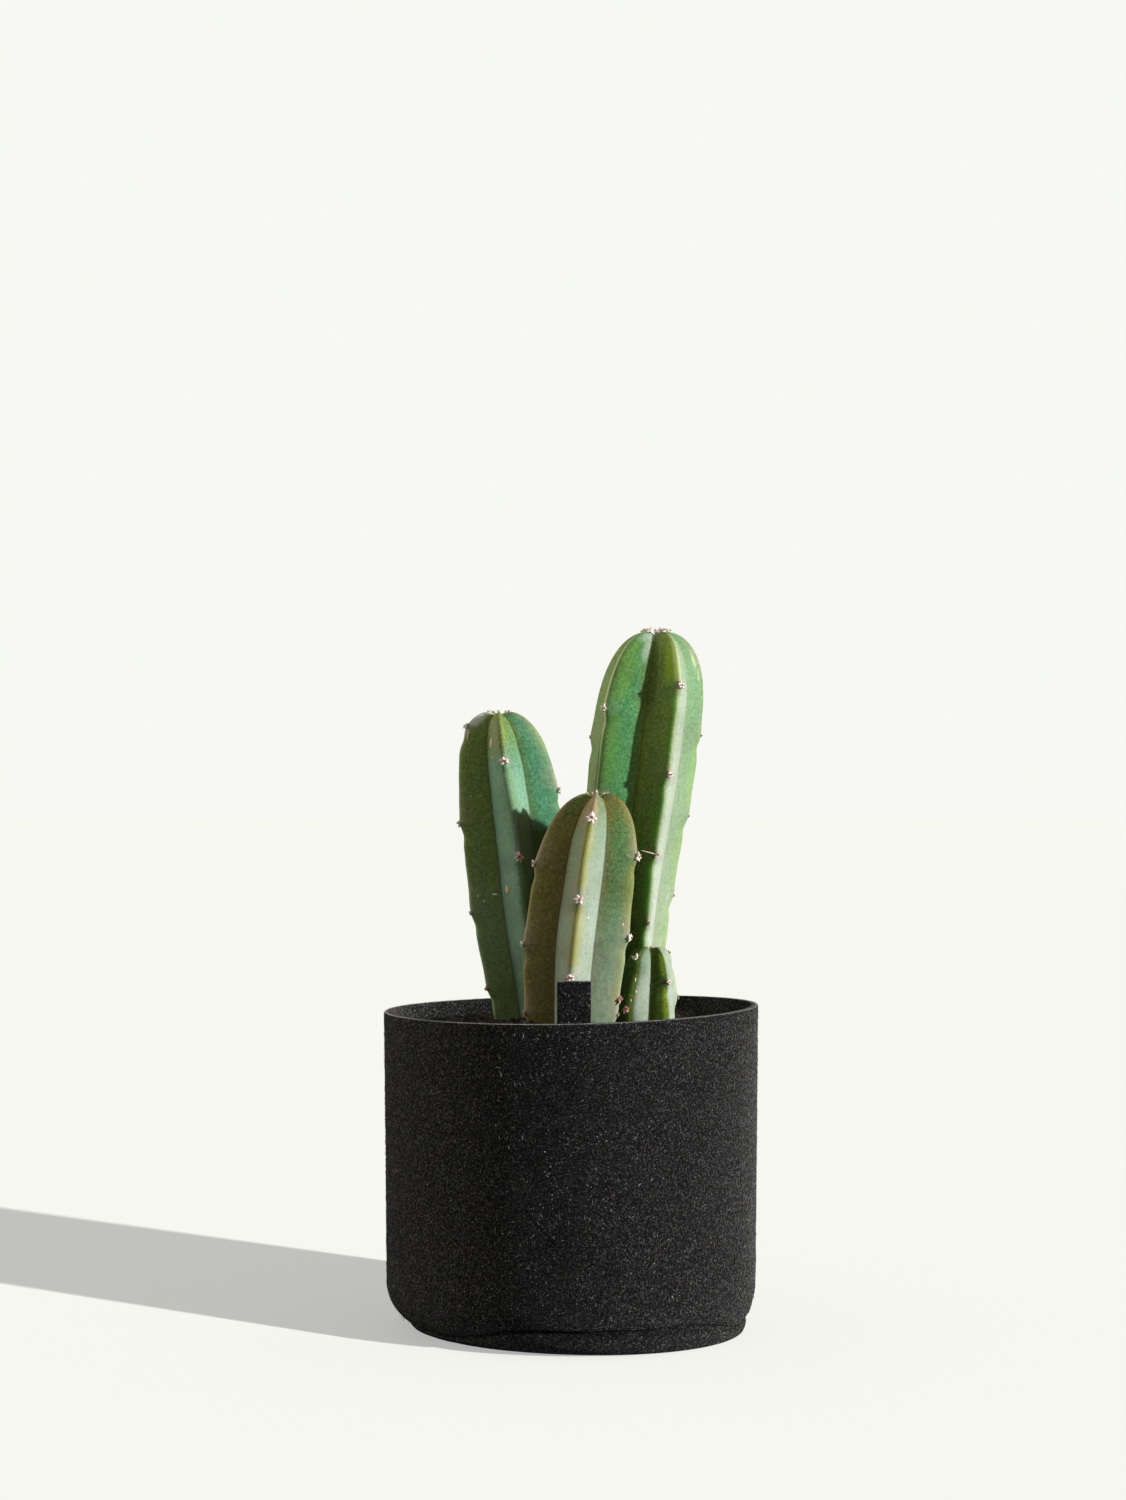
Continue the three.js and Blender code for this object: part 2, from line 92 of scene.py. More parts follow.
# Stems. The girths and the radius are rough ones that turn angles into lengths over the skin.
LINE_START = 121
RIBS = 5
RIB_STEP = 360 / RIBS
CREST_ROUNDING = 5
FACE_BULGE = 0.03
TIP_DIP = 2
TIP_DIP_RADIUS = 3
ROOT_TAPER = 0.8
YOUNG_LEVEL = 83
NOTCH_DEPTH = 0.9
NOTCH_BELOW = 5
NOTCH_SPREAD = 3
NOTCH_WIDTH = 20
SHOULDER_HEIGHT = 0.5
SHOULDER_SPREAD = 5
AREOLE_SPACING = 30
SWELL_GIRTH = 120
SKIN_GIRTH = 130
SKIN_RADIUS = 20

# Wool and spines: ranges of lean, length and radius, the last two as shares of the areole's size
WOOL_PAD = (1.45, 1.6, 0.6)
HAIRS = 26
YOUNG_SPINES = dict(leans=(35, 80), lengths=(1.2, 2.0), radii=(0.2, 0.3))
OLD_SPINES = dict(leans=(50, 84), lengths=(1.4, 2.2), radii=(0.6, 0.86))
LONG_SPINE = 7
LONG_SPINE_HEIGHT = 189.5
LONG_SPINE_DIRECTION = (-0.93, -0.2, 0.3)

# Each stem's form: the height of its tip and of its dome and how full the dome is, where its first rib
# points and how far the ribs twist, its middle line in plan and its crests' radii at equal steps up it,
# how far crests and grooves sway from even spacing, how deep each groove is, and each rib's areoles from
# the top down with their sizes and how rust brown they are. The last size and rust serve the rest of the
# rib. Young is the size of the areoles at the tip, and a bud is one more areole: height, rib and size.
STEMS = {
    "stem_tall": dict(
        tip=280.4, dome=40, fullness=2.6, turn=30, twist=1, young=1.0, seed=11,
        line=[[20, 22], [22.3, 22.3], [28.5, 22.7], [34.8, 23]], radii=[14.4, 20, 23.4, 22.9],
        sways=[0, 5, -3, -3, -2.5, -4, -5, -6, -6, 2.5], grooves=[0.68, 0.62, 0.62, 0.62, 0.54],
        areoles=[[257.7, 221.8, 189.5, 162, 135], [237.5, 204.5, 172, 141], [255, 220.5, 188, 157.5, 129],
                 [237, 202.5, 170, 139.5], [248.5, 214, 181.5, 151]],
        sizes=[[0.85, 0.75, 0.6, 0.5], [0.35], [0.8], [0.4], [0.75]],
        rusts=[[0.1, 0.2, 0.45, 0.6], [0.7], [0.1], [0.7], [0.1]]),
    "stem_left": dict(
        tip=247.5, dome=30, fullness=2.8, turn=15.7, twist=-18, young=0.45, seed=12,
        line=[[-16.7, 19], [-21.2, 16], [-24.5, 13], [-29, 10]], radii=[16.5, 20.4, 21.4, 17.5],
        grooves=[0.58] * RIBS,
        areoles=[[227.2, 188.9, 153.1], [215.5, 177.2, 141.4], [232, 193.7, 157.9], [226, 187.7, 151.9],
                 [241.2, 201.9, 165.7, 135.1]],
        sizes=[[0.95, 0.85], [0.6], [0.8], [0.8], [0.75, 0.65, 0.45, 0.6]],
        rusts=[[0.1, 0.5], [0.7], [0.1], [0.1], [0.1, 0.4, 0.7, 0.6]]),
    "stem_middle": dict(
        tip=215, dome=38, fullness=2.5, turn=-3.5, twist=0, young=0.4, seed=13,
        line=[[0, -17], [1.9, -17], [5.8, -17], [10.4, -17]], radii=[18, 21.2, 21.1, 20.3],
        grooves=[0.58] * RIBS, buds=[(133.5, 1, 0.8)],
        areoles=[[205, 173.2, 142.9], [189.5, 157.7, 127.4], [200, 168.2, 137.9], [206, 174.2, 143.9],
                 [186.8, 155, 127.6]],
        sizes=[[1.0, 1.0, 0.95], [0.9, 0.85, 0.4], [0.8], [0.8], [0.75, 0.65, 0.65]],
        rusts=[[0.1], [0.1], [0.1], [0.1], [0.15, 0.1, 0.5]]),
    "stem_pup": dict(
        tip=154.2, dome=16, fullness=2.2, turn=-28, twist=-8, young=0.4, seed=14,
        line=[[29.3, -9], [30.3, -9], [31.4, -9.2], [31.9, -9.5]], radii=[13.4, 12.8, 10.8, 11.6],
        sways=[-8] + [0] * 9, grooves=[0.62] * RIBS,
        areoles=[[149.3, 129], [139.7], [150.8, 132.8], [144], [142]],
        sizes=[[0.65, 0.8], [0.55], [0.5, 0.5], [0.5], [0.5]],
        rusts=[[0.1, 0.9], [0.3], [0.1, 0.4], [0.1], [0.1]]),
}

# Each stem's colours: living skin, its olive or brown sides, waxy bloom, the line below each areole with
# its fresher tone near the tip, the corky tint above each areole, and the dark tone of painted shade, with
# the height over which it fades. Then a value for the left and the right face of each rib: how olive, how
# bloomed, how whitish and how much painted shade it has, with what is added low down and on the dome. The
# olive values are partly painted shade on faces turned from the light, and the bloom and whitish values
# partly a painted highlight on faces turned to it. Then, for each rib: the height up to which its painted
# shade reaches, how strong its line is near the tip and below, its width, how fresh it is and the degrees
# it lies to the right of the crest, how corky the crest is, how strong the thin pale line on it is, and how
# many degrees to the right of the crest its faces part. A table in curly brackets gives values by the
# rib's number, and the ribs that it leaves out have 0.
SKINS = {
    "stem_tall": dict(
        skin=(0.05, 0.255, 0.095), olive=(0.24, 0.33, 0.065), bloom=(0.4, 0.47, 0.33), line=(0.1, 0.37, 0.04),
        fresh=(0.42, 0.68, 0.03), cork=(0.46, 0.38, 0.28), deep=(0.03, 0.065, 0.012), painted_shade_fade=86,
        olives_with_painted_shade=[[0.85, 0.1], [0.2, 0.3], [0.4, 0.3], [0.3, 0.75], [0.95, 0.1]],
        blooms_with_painted_highlight=[[0.0, 1.0], [0.72, 0.5], [0.5, 0.6], [0.5, 0.3], [0.05, 0.05]],
        whites_and_painted_highlights={0: [0, 0.5], 1: [0.05, 0.1]}, painted_shades={0: [0.95, 0], 4: [0, 0.6]}, painted_shade_tops=[249] * RIBS,
        lines=[[1, 0.9], [0, 0.35], [0.5, 0.5], [0.5, 0.5], [0.25, 0.3]], line_widths=[0.75, 2.0, 1, 1, 2.4],
        line_end=0.94, line_tones={1: 0.55, 4: 0.35}, shifts={0: -4, 1: -9, 4: 8},
        corks=[0.05, 0.15, 0.2, 0.2, 0], ridges={0: 0.1, 4: 1}),
    "stem_left": dict(
        skin=(0.06, 0.27, 0.14), olive=(0.17, 0.23, 0.045), bloom=(0.31, 0.465, 0.345),
        line=(0.09, 0.24, 0.05), fresh=(0.3, 0.42, 0.08), cork=(0.46, 0.38, 0.27), deep=(0.08, 0.064, 0.019),
        painted_shade_fade=4,
        olives_with_painted_shade=[[0.3, 0.0], [0.0, 0.2], [0.3, 0.3], [0.3, 0.4], [0.5, 0.9]],
        blooms_with_painted_highlight=[[0.86, 0.8], [0.14, 0.4], [0.5, 0.5], [0.5, 0.4], [0.5, 0.08]], low_blooms={4: [0, 0.22]},
        whites_and_painted_highlights={0: [0, 0.06]}, painted_shades={0: [0.1, 0.95], 1: [0.95, 0]}, painted_shade_tops={0: 208, 1: 202},
        top_olives={0: [0.95, 0.75], 1: [0.1, 0], 4: [0.2, 0]},
        # Painted light: on the dome, the bloom of ribs 3 and 4 and the cork of rib 4 paint a pale patch where
        # the light falls
        top_blooms={0: [-0.65, -0.4], 3: [0, 0.3], 4: [0.4, 0]},
        top_corks={0: [0.22, 0], 1: [0.1, 0], 4: [0.3, 0]},
        lines=[[0.8, 0.8], [0.3, 0.3], [0.5, 0.5], [0.5, 0.5], [0.5, 0.2]], line_widths=[0.9, 1.5, 2, 2, 2],
        line_end=0.6, shifts={0: 3, 1: -3, 4: 3}, corks=[0, 0.55, 0.3, 0.3, 0.3]),
    "stem_middle": dict(
        skin=(0.05, 0.19, 0.055), olive=(0.23, 0.19, 0.05), bloom=(0.37, 0.435, 0.365),
        line=(0.36, 0.35, 0.02), fresh=(0.42, 0.3, 0.13), cork=(0.5, 0.37, 0.25), deep=(0.046, 0.047, 0.0075),
        painted_shade_fade=1,
        olives_with_painted_shade=[[0.45, 0.05], [0.17, 0.3], [0.4, 0.3], [0.3, 0.5], [0.7, 1.0]],
        blooms_with_painted_highlight=[[0.53, 1.0], [0.12, 0.6], [0.5, 0.5], [0.5, 0.5], [0.3, 0.04]],
        low_blooms={0: [0, -0.3], 1: [0.5, 0]},
        whites_and_painted_highlights={0: [0, 0.16]}, painted_shades={0: [0.15, 0], 4: [0, 0.3]}, painted_shade_tops=[400] * RIBS,
        top_olives={0: [0.5, 0], 1: [0.4, 0], 4: [0, -0.5]}, top_blooms={0: [-0.5, -0.3], 1: [-0.1, 0]},
        top_corks={0: [0.55, 0.3], 1: [-0.35, -0.25], 4: [-0.3, -0.35]},
        lines=[[1, 1], [0.3, 0.35], [0.6, 0.6], [0.6, 0.6], [0.5, 0.3]], line_widths=[1.9, 1.6, 2, 2, 1.2],
        line_end=0.94, shifts={0: 1.2, 1: -4}, corks=[0.25, 0.38, 0.7, 0.7, 0.75]),
    "stem_pup": dict(
        skin=(0.08, 0.23, 0.06), olive=(0.16, 0.23, 0.025), bloom=(0.36, 0.44, 0.36), line=(0.32, 0.46, 0.03),
        fresh=(0.32, 0.46, 0.03), cork=(0.4, 0.36, 0.25), deep=(0.024, 0.05, 0.006), painted_shade_fade=1,
        olives_with_painted_shade=[[0.5, 0.05], [0.8, 0.0], [0.3, 0.3], [0.3, 0.3], [0.4, 0.4]],
        blooms_with_painted_highlight=[[0.0, 1.0], [0.0, 1.0], [1.0, 0.6], [0.5, 0.5], [0.2, 0.1]],
        whites_and_painted_highlights={0: [0, 0.22], 1: [0, 0.38], 2: [0.4, 0]}, painted_shades={0: [0.85, 0], 1: [0.8, 0], 4: [0.9, 0.9]},
        painted_shade_tops=[400] * RIBS,
        lines=[[0.25, 0.2], [0.9, 0.9], [0.8, 0.8], [0.5, 0.5], [0.5, 0.5]],
        line_widths=[1.0, 1.2, 1.2, 1, 1], line_end=0.9, shifts={0: 4, 1: -6, 2: -3}, corks=[0.15] * RIBS,
        edges={0: 11}),
}

# Soft marks on the skin: layer, rib, angle from its crest, height, half width and half height, and strength.
# The deep marks are painted shade in the tall stem's groove near its tip, the pale band marks painted
# highlights, with the tall stem's low pale band partly bloom, and the ridge marks on the tall stem's first
# rib are painted light on its crest near the tip
MARKS = {
    "stem_tall": [
        ("pale_band_and_painted_highlight", 4, 25, 274, 2.2, 6, 0.45), ("pale_band_and_painted_highlight", 4, 22, 278, 5, 2.5, 0.6),
        ("pale_band_and_painted_highlight", 0, 13, 155, 4, 36, 0.8), ("ridge", 0, 0, 267, 0.5, 9, 0.5),
        ("ridge", 0, -4, 268, 0.8, 9, 0.25), ("ridge", 1, -14, 268, 0.6, 3.2, 0.6),
        ("ridge", 1, -10, 262, 0.4, 2, 0.5), ("line", 0, -9, 265, 2.0, 10, 0.75),
        ("deep", 0, -31, 261, 3, 15, 0.6), ("deep", 4, 31, 261, 2.2, 15, 0.5),
        ("cork", 0, -4.5, 268, 0.45, 6, 0.5), ("cork", 1, -8, 271, 3.5, 6, 0.5)],
    # Painted light: a pale patch on the left stem's dome where the light falls
    "stem_left": [("pale_band_and_painted_highlight", 4, 9, 244.5, 3.6, 3.4, 0.9), ("pale_band_and_painted_highlight", 4, 4, 240, 1.4, 3, 0.4)],
}

# Small flakes of cork on the skin: rib, angle from its crest, height, half width and half height, paleness
FLAKES = {
    "stem_tall": [(0, 16, 141, 0.45, 1.5, 0.5)],
    "stem_left": [
        (0, -19, 234.8, 0.8, 2.2, 0.35), (0, -18, 228.8, 0.4, 0.8, 0.1), (0, -21, 175.4, 1.15, 1.7, 0.3),
        (4, 27, 173.4, 1.1, 0.38, 0.9), (4, 9, 172.7, 0.38, 0.38, 1), (4, 14, 170.6, 0.38, 0.38, 1),
        (4, 12, 213, 0.3, 0.3, 0.7), (4, 22, 213, 0.3, 0.3, 0.7), (4, 7, 238, 0.35, 2.2, 0.3)],
    "stem_middle": [(1, -8, 163, 0.4, 0.5, 0.5), (0, 14, 166, 0.3, 0.6, 1)],
    "stem_pup": [(0, 6, 140.6, 0.3, 0.8, 0.5), (0, 10, 135.9, 0.35, 0.7, 0.6), (0, 5, 132.6, 0.25, 0.5, 0.5)],
}


# Meshes from arrays
def linked(name, data):
    """An object of a mesh, lamp or camera, put in the scene"""
    made = bpy.data.objects.new(name, data)
    bpy.context.scene.collection.objects.link(made)
    return made


def add_mesh(name, points, faces, material, layers=None):
    """A mesh object from points in millimetres, arrays of faces and values at each point"""
    mesh = bpy.data.meshes.new(name)
    corners = [face for group in faces for face in group.tolist()]
    mesh.from_pydata((np.asarray(points) * MM).tolist(), [], corners)
    mesh.shade_smooth()
    for key, values in (layers or {}).items():
        mesh.attributes.new(key, "FLOAT", "POINT").data.foreach_set("value", np.ravel(values))
    mesh.materials.append(material)
    return linked(name, mesh)


def joined(*values):
    """Values side by side in a last axis, with single numbers repeated to fit"""
    return np.stack(np.broadcast_arrays(*values), -1)


def even_angles(columns):
    return np.arange(columns) * 360 / columns


def grid_faces(rows, columns, looped=False):
    """Faces of rings joined one to the next, the first ring lowest, and the last to the first if looped"""
    j = np.arange(rows if looped else rows - 1)[:, None]
    i = np.arange(columns)[None]
    low, high = j * columns, ((j + 1) % rows) * columns
    k = (i + 1) % columns
    return joined(low + i, low + k, high + k, high + i).reshape(-1, 4)


def fan_faces(start, columns, pole, upward):
    """Faces that close a ring with a pole"""
    i = np.arange(columns)
    k = (i + 1) % columns
    pair = (start + i, start + k) if upward else (start + k, start + i)
    return joined(*pair, pole)


def lofted(rings, bottom, top):
    """Points and faces of a body of rings closed by a pole at each end"""
    rows, columns = rings.shape[:2]
    points = np.concatenate([rings.reshape(-1, 3), [bottom], [top]])
    last = rows * columns
    fans = [fan_faces(0, columns, last, False), fan_faces(last - columns, columns, last + 1, True)]
    return points, [grid_faces(rows, columns), np.concatenate(fans)]


def strands(start, direction, bend, length, radius, taper, sides=3):
    """Points, faces and the share of the length at each point of curved strands, closed at both ends"""
    share = np.linspace(0, 1, len(taper))
    centre = start[:, None] + length[:, None, None] * (
        share[None, :, None] * direction[:, None] + (share ** 2)[None, :, None] * bend[:, None])
    spare = np.where(np.abs(direction[:, 2:3]) > 0.9, [[1.0, 0, 0]], [[0, 0, 1.0]])
    first = unit(np.cross(direction, spare))
    second = np.cross(direction, first)
    angle = np.arange(sides) * 2 * np.pi / sides
    around = np.cos(angle)[None, :, None] * first[:, None] + np.sin(angle)[None, :, None] * second[:, None]
    width = radius[:, None] * np.asarray(taper)[None]
    points = centre[:, :, None] + width[:, :, None, None] * around[:, None]
    one = grid_faces(len(taper), sides)
    ends = np.stack([np.arange(sides)[::-1], np.arange(sides) + (len(taper) - 1) * sides])
    offset = np.arange(len(start))[:, None, None] * (len(taper) * sides)
    faces = [(one[None] + offset).reshape(-1, 4), (ends[None] + offset).reshape(-1, sides)]
    along = np.broadcast_to(share[None, :, None], points.shape[:3])
    return points.reshape(-1, 3), faces, along.reshape(-1)


def gathered(parts):
    """Points and faces of many small bodies as one mesh, from the points and faces of each"""
    points, by_size, total = [], {}, 0
    for body, faces in parts:
        points.append(body)
        for group in faces:
            by_size.setdefault(group.shape[1], []).append(group + total)
        total += len(body)
    return np.concatenate(points), [np.concatenate(groups) for groups in by_size.values()]


def cushion_points(rings=6, columns=12):
    """Unit dome-shaped pad as rings from its underside to its top"""
    turn = np.arange(columns) * 2 * np.pi / columns
    tilts = np.radians(np.linspace(-60, 78, rings))
    return np.stack([joined(np.cos(a) * np.cos(turn), np.cos(a) * np.sin(turn), np.sin(a)) for a in tilts])


def uneven(rng, pad, amount):
    return pad * (1 + amount * rng.uniform(-1, 1, pad.shape[:2])[..., None])


def capped(rings, lift=0.0):
    """Points and faces of a pad's rings, closed at the middle of its first ring and, lifted, of its last"""
    return lofted(rings, rings[0].mean(0), rings[-1].mean(0) + lift)


# Plain sums
def soft_noise(u, v, cell, seed, around=None):
    """Smooth random values from -1 to 1 over a plane, with that cell size, repeating in u after around"""
    size = 512
    columns = size if around is None else max(2, round(around / cell))
    u = np.asarray(u) * (1 / cell if around is None else columns / around)
    v = np.asarray(v) / cell
    iu, iv = np.floor(u).astype(int), np.floor(v).astype(int)
    fu, fv = u - iu, v - iv
    fu, fv = fu * fu * (3 - 2 * fu), fv * fv * (3 - 2 * fv)
    table = np.random.default_rng(seed).uniform(-1, 1, (columns, size))
    corner = [[table[(iu + a) % columns, (iv + b) % size] for b in (0, 1)] for a in (0, 1)]
    near = corner[0][0] * (1 - fu) + corner[1][0] * fu
    far = corner[0][1] * (1 - fu) + corner[1][1] * fu
    return near * (1 - fv) + far * fv


def layered_noise(u, v, layers, seed, around=None):
    return sum(height * soft_noise(u, v, cell, seed + i, around) for i, (height, cell) in enumerate(layers))


def smooth(x):
    x = np.clip(x, 0, 1)
    return x * x * (3 - 2 * x)


def bell(x, width):
    """1 where x is 0, falling away smoothly on both sides"""
    return np.exp(-((x / width) ** 2))


def unit(v):
    return v / np.linalg.norm(v, axis=-1, keepdims=True)


def scaled(rgb, factor):
    return [factor * c for c in rgb]


# Shader nodes
class Paint:
    """A tree of shader nodes and short ways to add to it. All but node and fill give a result's socket"""

    def __init__(self, tree):
        self.tree = tree

    def fill(self, socket, value):
        """Joins another socket to an input, or sets the input's value, a colour by its red, green and blue"""
        if isinstance(value, bpy.types.NodeSocket):
            self.tree.links.new(value, socket)
        else:
            socket.default_value = (*value, 1.0) if socket.type == "RGBA" else value

    def node(self, kind, inputs=None, **settings):
        made = self.tree.nodes.new("ShaderNode" + kind)
        for key, value in settings.items():
            setattr(made, key, value)
        for key, value in (inputs or {}).items():
            self.fill(made.inputs[key], value)
        return made

    def mixed(self, factor, a, b, blend="MIX"):
        """A colour between a and b"""
        return self.node("Mix", {0: factor, 6: a, 7: b}, data_type="RGBA", blend_type=blend).outputs[2]

    def span(self, value, low, high, to_low=0.0, to_high=1.0):
        """A value taken smoothly from one range to another, held at both ends"""
        ends = {"From Min": low, "From Max": high, "To Min": to_low, "To Max": to_high}
        return self.node("MapRange", {"Value": value, **ends}, interpolation_type="SMOOTHSTEP").outputs[0]

    def product(self, a, b):
        return self.node("Math", {0: a, 1: b}, operation="MULTIPLY").outputs[0]

    def layer(self, name):
        return self.node("Attribute", attribute_name=name).outputs["Fac"]


class Material(Paint):
    """A new material and the nodes of its shader"""

    def __init__(self, name):
        self.made = bpy.data.materials.new(name)
        self.made.use_nodes = True
        super().__init__(self.made.node_tree)
        self.place = self.node("TexCoord").outputs["Object"]

    def noise(self, per_metre, detail=2.0, roughness=0.5, place=None):
        """Noise values round 0.5, with that many features to the metre"""
        inputs = {"Vector": place or self.place, "Scale": per_metre, "Detail": detail, "Roughness": roughness}
        return self.node("TexNoise", inputs).outputs[0]

    def finished(self, inputs, relief=None, depth=0.0):
        """The material, with its shader's inputs filled and any relief, a depth in metres, on its normal"""
        if relief:
            inputs["Normal"] = self.node("Bump", {"Height": relief, "Distance": depth}).outputs[0]
        for key, value in inputs.items():
            self.fill(self.tree.nodes["Principled BSDF"].inputs[key], value)
        return self.made


# Materials
def felt_material():
    """Needled felt: near black, mottled, with pale specks of fibre and painted glints, paler along the top of
    the rim and the tab, and darker in its seam, a painted shade of the crease
    """
    paint = Material("felt")
    patches = paint.span(paint.noise(120, 4), 0.35, 0.65)
    mottled = paint.mixed(patches, (0.002, 0.002, 0.0022), (0.006, 0.006, 0.0063))
    pebbled = paint.mixed(paint.span(paint.noise(1500, 3, 0.6), 0.45, 0.64), mottled, (0.017, 0.017, 0.018))
    specks = paint.product(paint.span(paint.noise(1900), 0.59, 0.67), 0.8)
    speckled = paint.mixed(specks, pebbled, (0.115, 0.115, 0.12))
    # Painted glints: rare near-white dots in the felt's colour
    glints = paint.span(paint.noise(1700, 1), 0.715, 0.775)
    speckled = paint.mixed(glints, speckled, (0.85, 0.85, 0.86))
    # Painted shade along the seam's crease
    speckled = paint.mixed(paint.product(paint.layer("seam"), 0.93), speckled, (0.0008, 0.0008, 0.0008))
    # Paler along the top of the rim and the tab, where the edge layer is set
    pale_top = paint.mixed(paint.span(paint.noise(900, 3), 0.35, 0.65), (0.5, 0.5, 0.48), (0.95, 0.95, 0.92))
    sheen = paint.span(paint.noise(1200, 2, 0.6), 0.5, 0.62, 0.05, 0.45)
    return paint.finished({
        "Base Color": paint.mixed(paint.layer("edge"), speckled, pale_top), "Roughness": 0.92,
        "Specular IOR Level": 0.07, "Sheen Weight": sheen, "Sheen Roughness": 0.35,
    }, paint.noise(1700, 4, 0.6), 0.0026)


def fibre_material():
    """Loose fibres on the felt, each from charcoal to light grey by its own tone"""
    paint = Material("felt_fibre")
    tone = paint.mixed(paint.layer("tone"), (0.005, 0.005, 0.006), (0.42, 0.42, 0.43))
    worn = paint.span(paint.noise(400), 0.3, 0.7, 0.7)
    return paint.finished({"Base Color": paint.mixed(1.0, tone, worn, "MULTIPLY"), "Roughness": 0.7})


def skin_material(name, skin):
    """Waxy skin: green to olive by face, grey-green bloom, a bare green line on each crest, and cork, with
    painted shade in the grooves and on faces in shade, and painted highlights
    """
    paint = Material(name)
    patches = paint.noise(60, 3)
    grain = paint.noise(700, 3, 0.65)
    stretched = paint.node("Mapping", {"Vector": paint.place, "Scale": (1, 1, 0.1)}).outputs[0]
    streaks = paint.span(paint.noise(520, 3, 0.6, stretched), 0.5, 0.72, 0.0, 0.4)
    mottle = paint.product(paint.span(grain, 0.32, 0.68, 0.78, 1.22),
                           paint.span(paint.noise(1500, 2, 0.6), 0.3, 0.7, 0.76, 1.26))

    def worn(name, low, high, least):
        """A layer that the grain wears thin"""
        return paint.product(paint.layer(name), paint.span(grain, low, high, least))

    base = paint.mixed(paint.span(patches, 0.3, 0.7), scaled(skin["skin"], 0.8), scaled(skin["skin"], 1.2))
    base = paint.mixed(1.0, paint.mixed(paint.layer("olive"), base, skin["olive"]), mottle, "MULTIPLY")
    bloom = paint.product(worn("bloom", 0.25, 0.6, 0.7), paint.span(patches, 0.25, 0.7, 0.7))
    bloom = paint.product(bloom, paint.span(paint.noise(1700, 2, 0.6), 0.3, 0.55, 0.75))
    pale = [min(0.75, 1.5 * c + 0.08) for c in skin["bloom"]]
    coats = [
        (bloom, paint.mixed(paint.product(streaks, paint.layer("low")), skin["bloom"], pale)),
        (worn("cork", 0.3, 0.7, 0.5), skin["cork"]),
        # Painted shade: the deep tone darkens faces, and their lower parts, where shade and cast shadows fall
        (paint.product(paint.layer("deep"), 0.8), paint.mixed(1.0, skin["deep"], mottle, "MULTIPLY")),
        (paint.product(paint.layer("line"), paint.span(paint.noise(1300, 2, 0.6), 0.35, 0.55, 0.35)),
         paint.mixed(paint.layer("fresh"), skin["line"], skin["fresh"])),
        # A pale whitish band, partly bloom and partly a painted highlight
        (worn("pale_band_and_painted_highlight", 0.25, 0.6, 0.65), (0.6, 0.65, 0.57)),
        (paint.span(paint.noise(1000, 1, 0.4), 0.71, 0.76, 0.0, 0.5), (0.5, 0.5, 0.34)),
        (paint.layer("ridge"), (0.8, 0.85, 0.48)),
        # Painted shade: a dark line along the bottom of each groove
        (paint.product(paint.layer("groove"), 0.6), scaled(skin["olive"], 0.35)),
    ]
    for amount, tone in coats:
        base = paint.mixed(amount, base, tone)
    return paint.finished({
        "Base Color": base, "Roughness": paint.span(grain, 0.3, 0.7, 0.42, 0.6), "Specular IOR Level": 0.16,
        "Subsurface Weight": 0.05, "Subsurface Radius": (0.003, 0.004, 0.001),
    }, paint.noise(1500, 3, 0.6), 0.0001)


def wool_material():
    """Areole felt: tan between the spines, pale pink when young; and flakes of cork, tan to cream"""
    paint = Material("wool")
    aged = paint.mixed(paint.span(paint.noise(900), 0.35, 0.65), (0.26, 0.12, 0.08), (0.75, 0.5, 0.42))
    tone = paint.mixed(paint.layer("pale"), aged, (0.92, 0.8, 0.74))
    tone = paint.mixed(paint.product(paint.layer("rust"), 0.75), tone, (0.42, 0.12, 0.05))
    flake = paint.mixed(paint.layer("pale"), (0.8, 0.42, 0.15), (1.0, 0.97, 0.8))
    inputs = {"Base Color": paint.mixed(paint.layer("flake"), tone, flake), "Roughness": 0.9}
    return paint.finished(inputs, paint.noise(2500, 3), 0.0002)


def spine_material():
    """Stubby spines: cream pink, rust brown at the root and the point, dark on the young ones"""
    paint = Material("spine")
    along = paint.layer("along")
    tone = paint.mixed(paint.span(along, 0.85, 1.0), (1.0, 0.9, 0.84), (0.8, 0.52, 0.42))
    tone = paint.mixed(paint.span(along, 0.14, 0.0), tone, (0.5, 0.22, 0.14))
    tone = paint.mixed(paint.span(paint.noise(900), 0.5, 0.72, 0.0, 0.35), tone, (0.85, 0.6, 0.5))
    tone = paint.mixed(paint.product(paint.layer("rust"), 0.85), tone, (0.26, 0.07, 0.035))
    return paint.finished({"Base Color": tone, "Roughness": 0.5})


def soil_material():
    """Dark potting mix: clods, paler grains and crumbs that each have their own tone"""
    paint = Material("soil")
    patches = paint.span(paint.noise(160, 4), 0.35, 0.65)
    clods = paint.mixed(patches, (0.009, 0.006, 0.0048), (0.034, 0.019, 0.0135))
    grains = paint.mixed(paint.span(paint.noise(1300, 3), 0.6, 0.7), clods, (0.07, 0.042, 0.03))
    tone = paint.mixed(paint.product(paint.layer("tone"), 0.6), grains, (0.055, 0.03, 0.02))
    return paint.finished({"Base Color": tone, "Roughness": 0.95}, paint.noise(1500, 5, 0.7), 0.0008)


# The pot's outline in plan, its seam and its rim
def swayed(base, sways, angle):
    """A length that changes with the sine and cosine of the angle and of twice it"""
    a = np.radians(angle)
    waves = (np.sin(a), np.cos(a), np.sin(2 * a), np.cos(2 * a))
    return sum((sway * wave for sway, wave in zip(sways, waves)), base)


def plateaus(angle, table):
    """The sum of flat-topped swells round the pot"""
    total = 0
    for height, middle, half_width in table:
        away = np.abs((angle - middle + 540) % 360 - 180)
        total = total + height / (1 + (away / half_width) ** 6)
    return total


def foot_radius(angle):
    return swayed(FOOT_RADIUS, FOOT_SWAY, angle)


def rim_height(angle):
    return swayed(RIM_HEIGHT, RIM_SWAY, angle)


def seam_height(angle):
    wavy = 0.3 * soft_noise(angle / 360 * POT_LENGTH, 0, 22, 19, POT_LENGTH)
    return SEAM_LOW + plateaus(angle, SEAM_LIFTS) + wavy


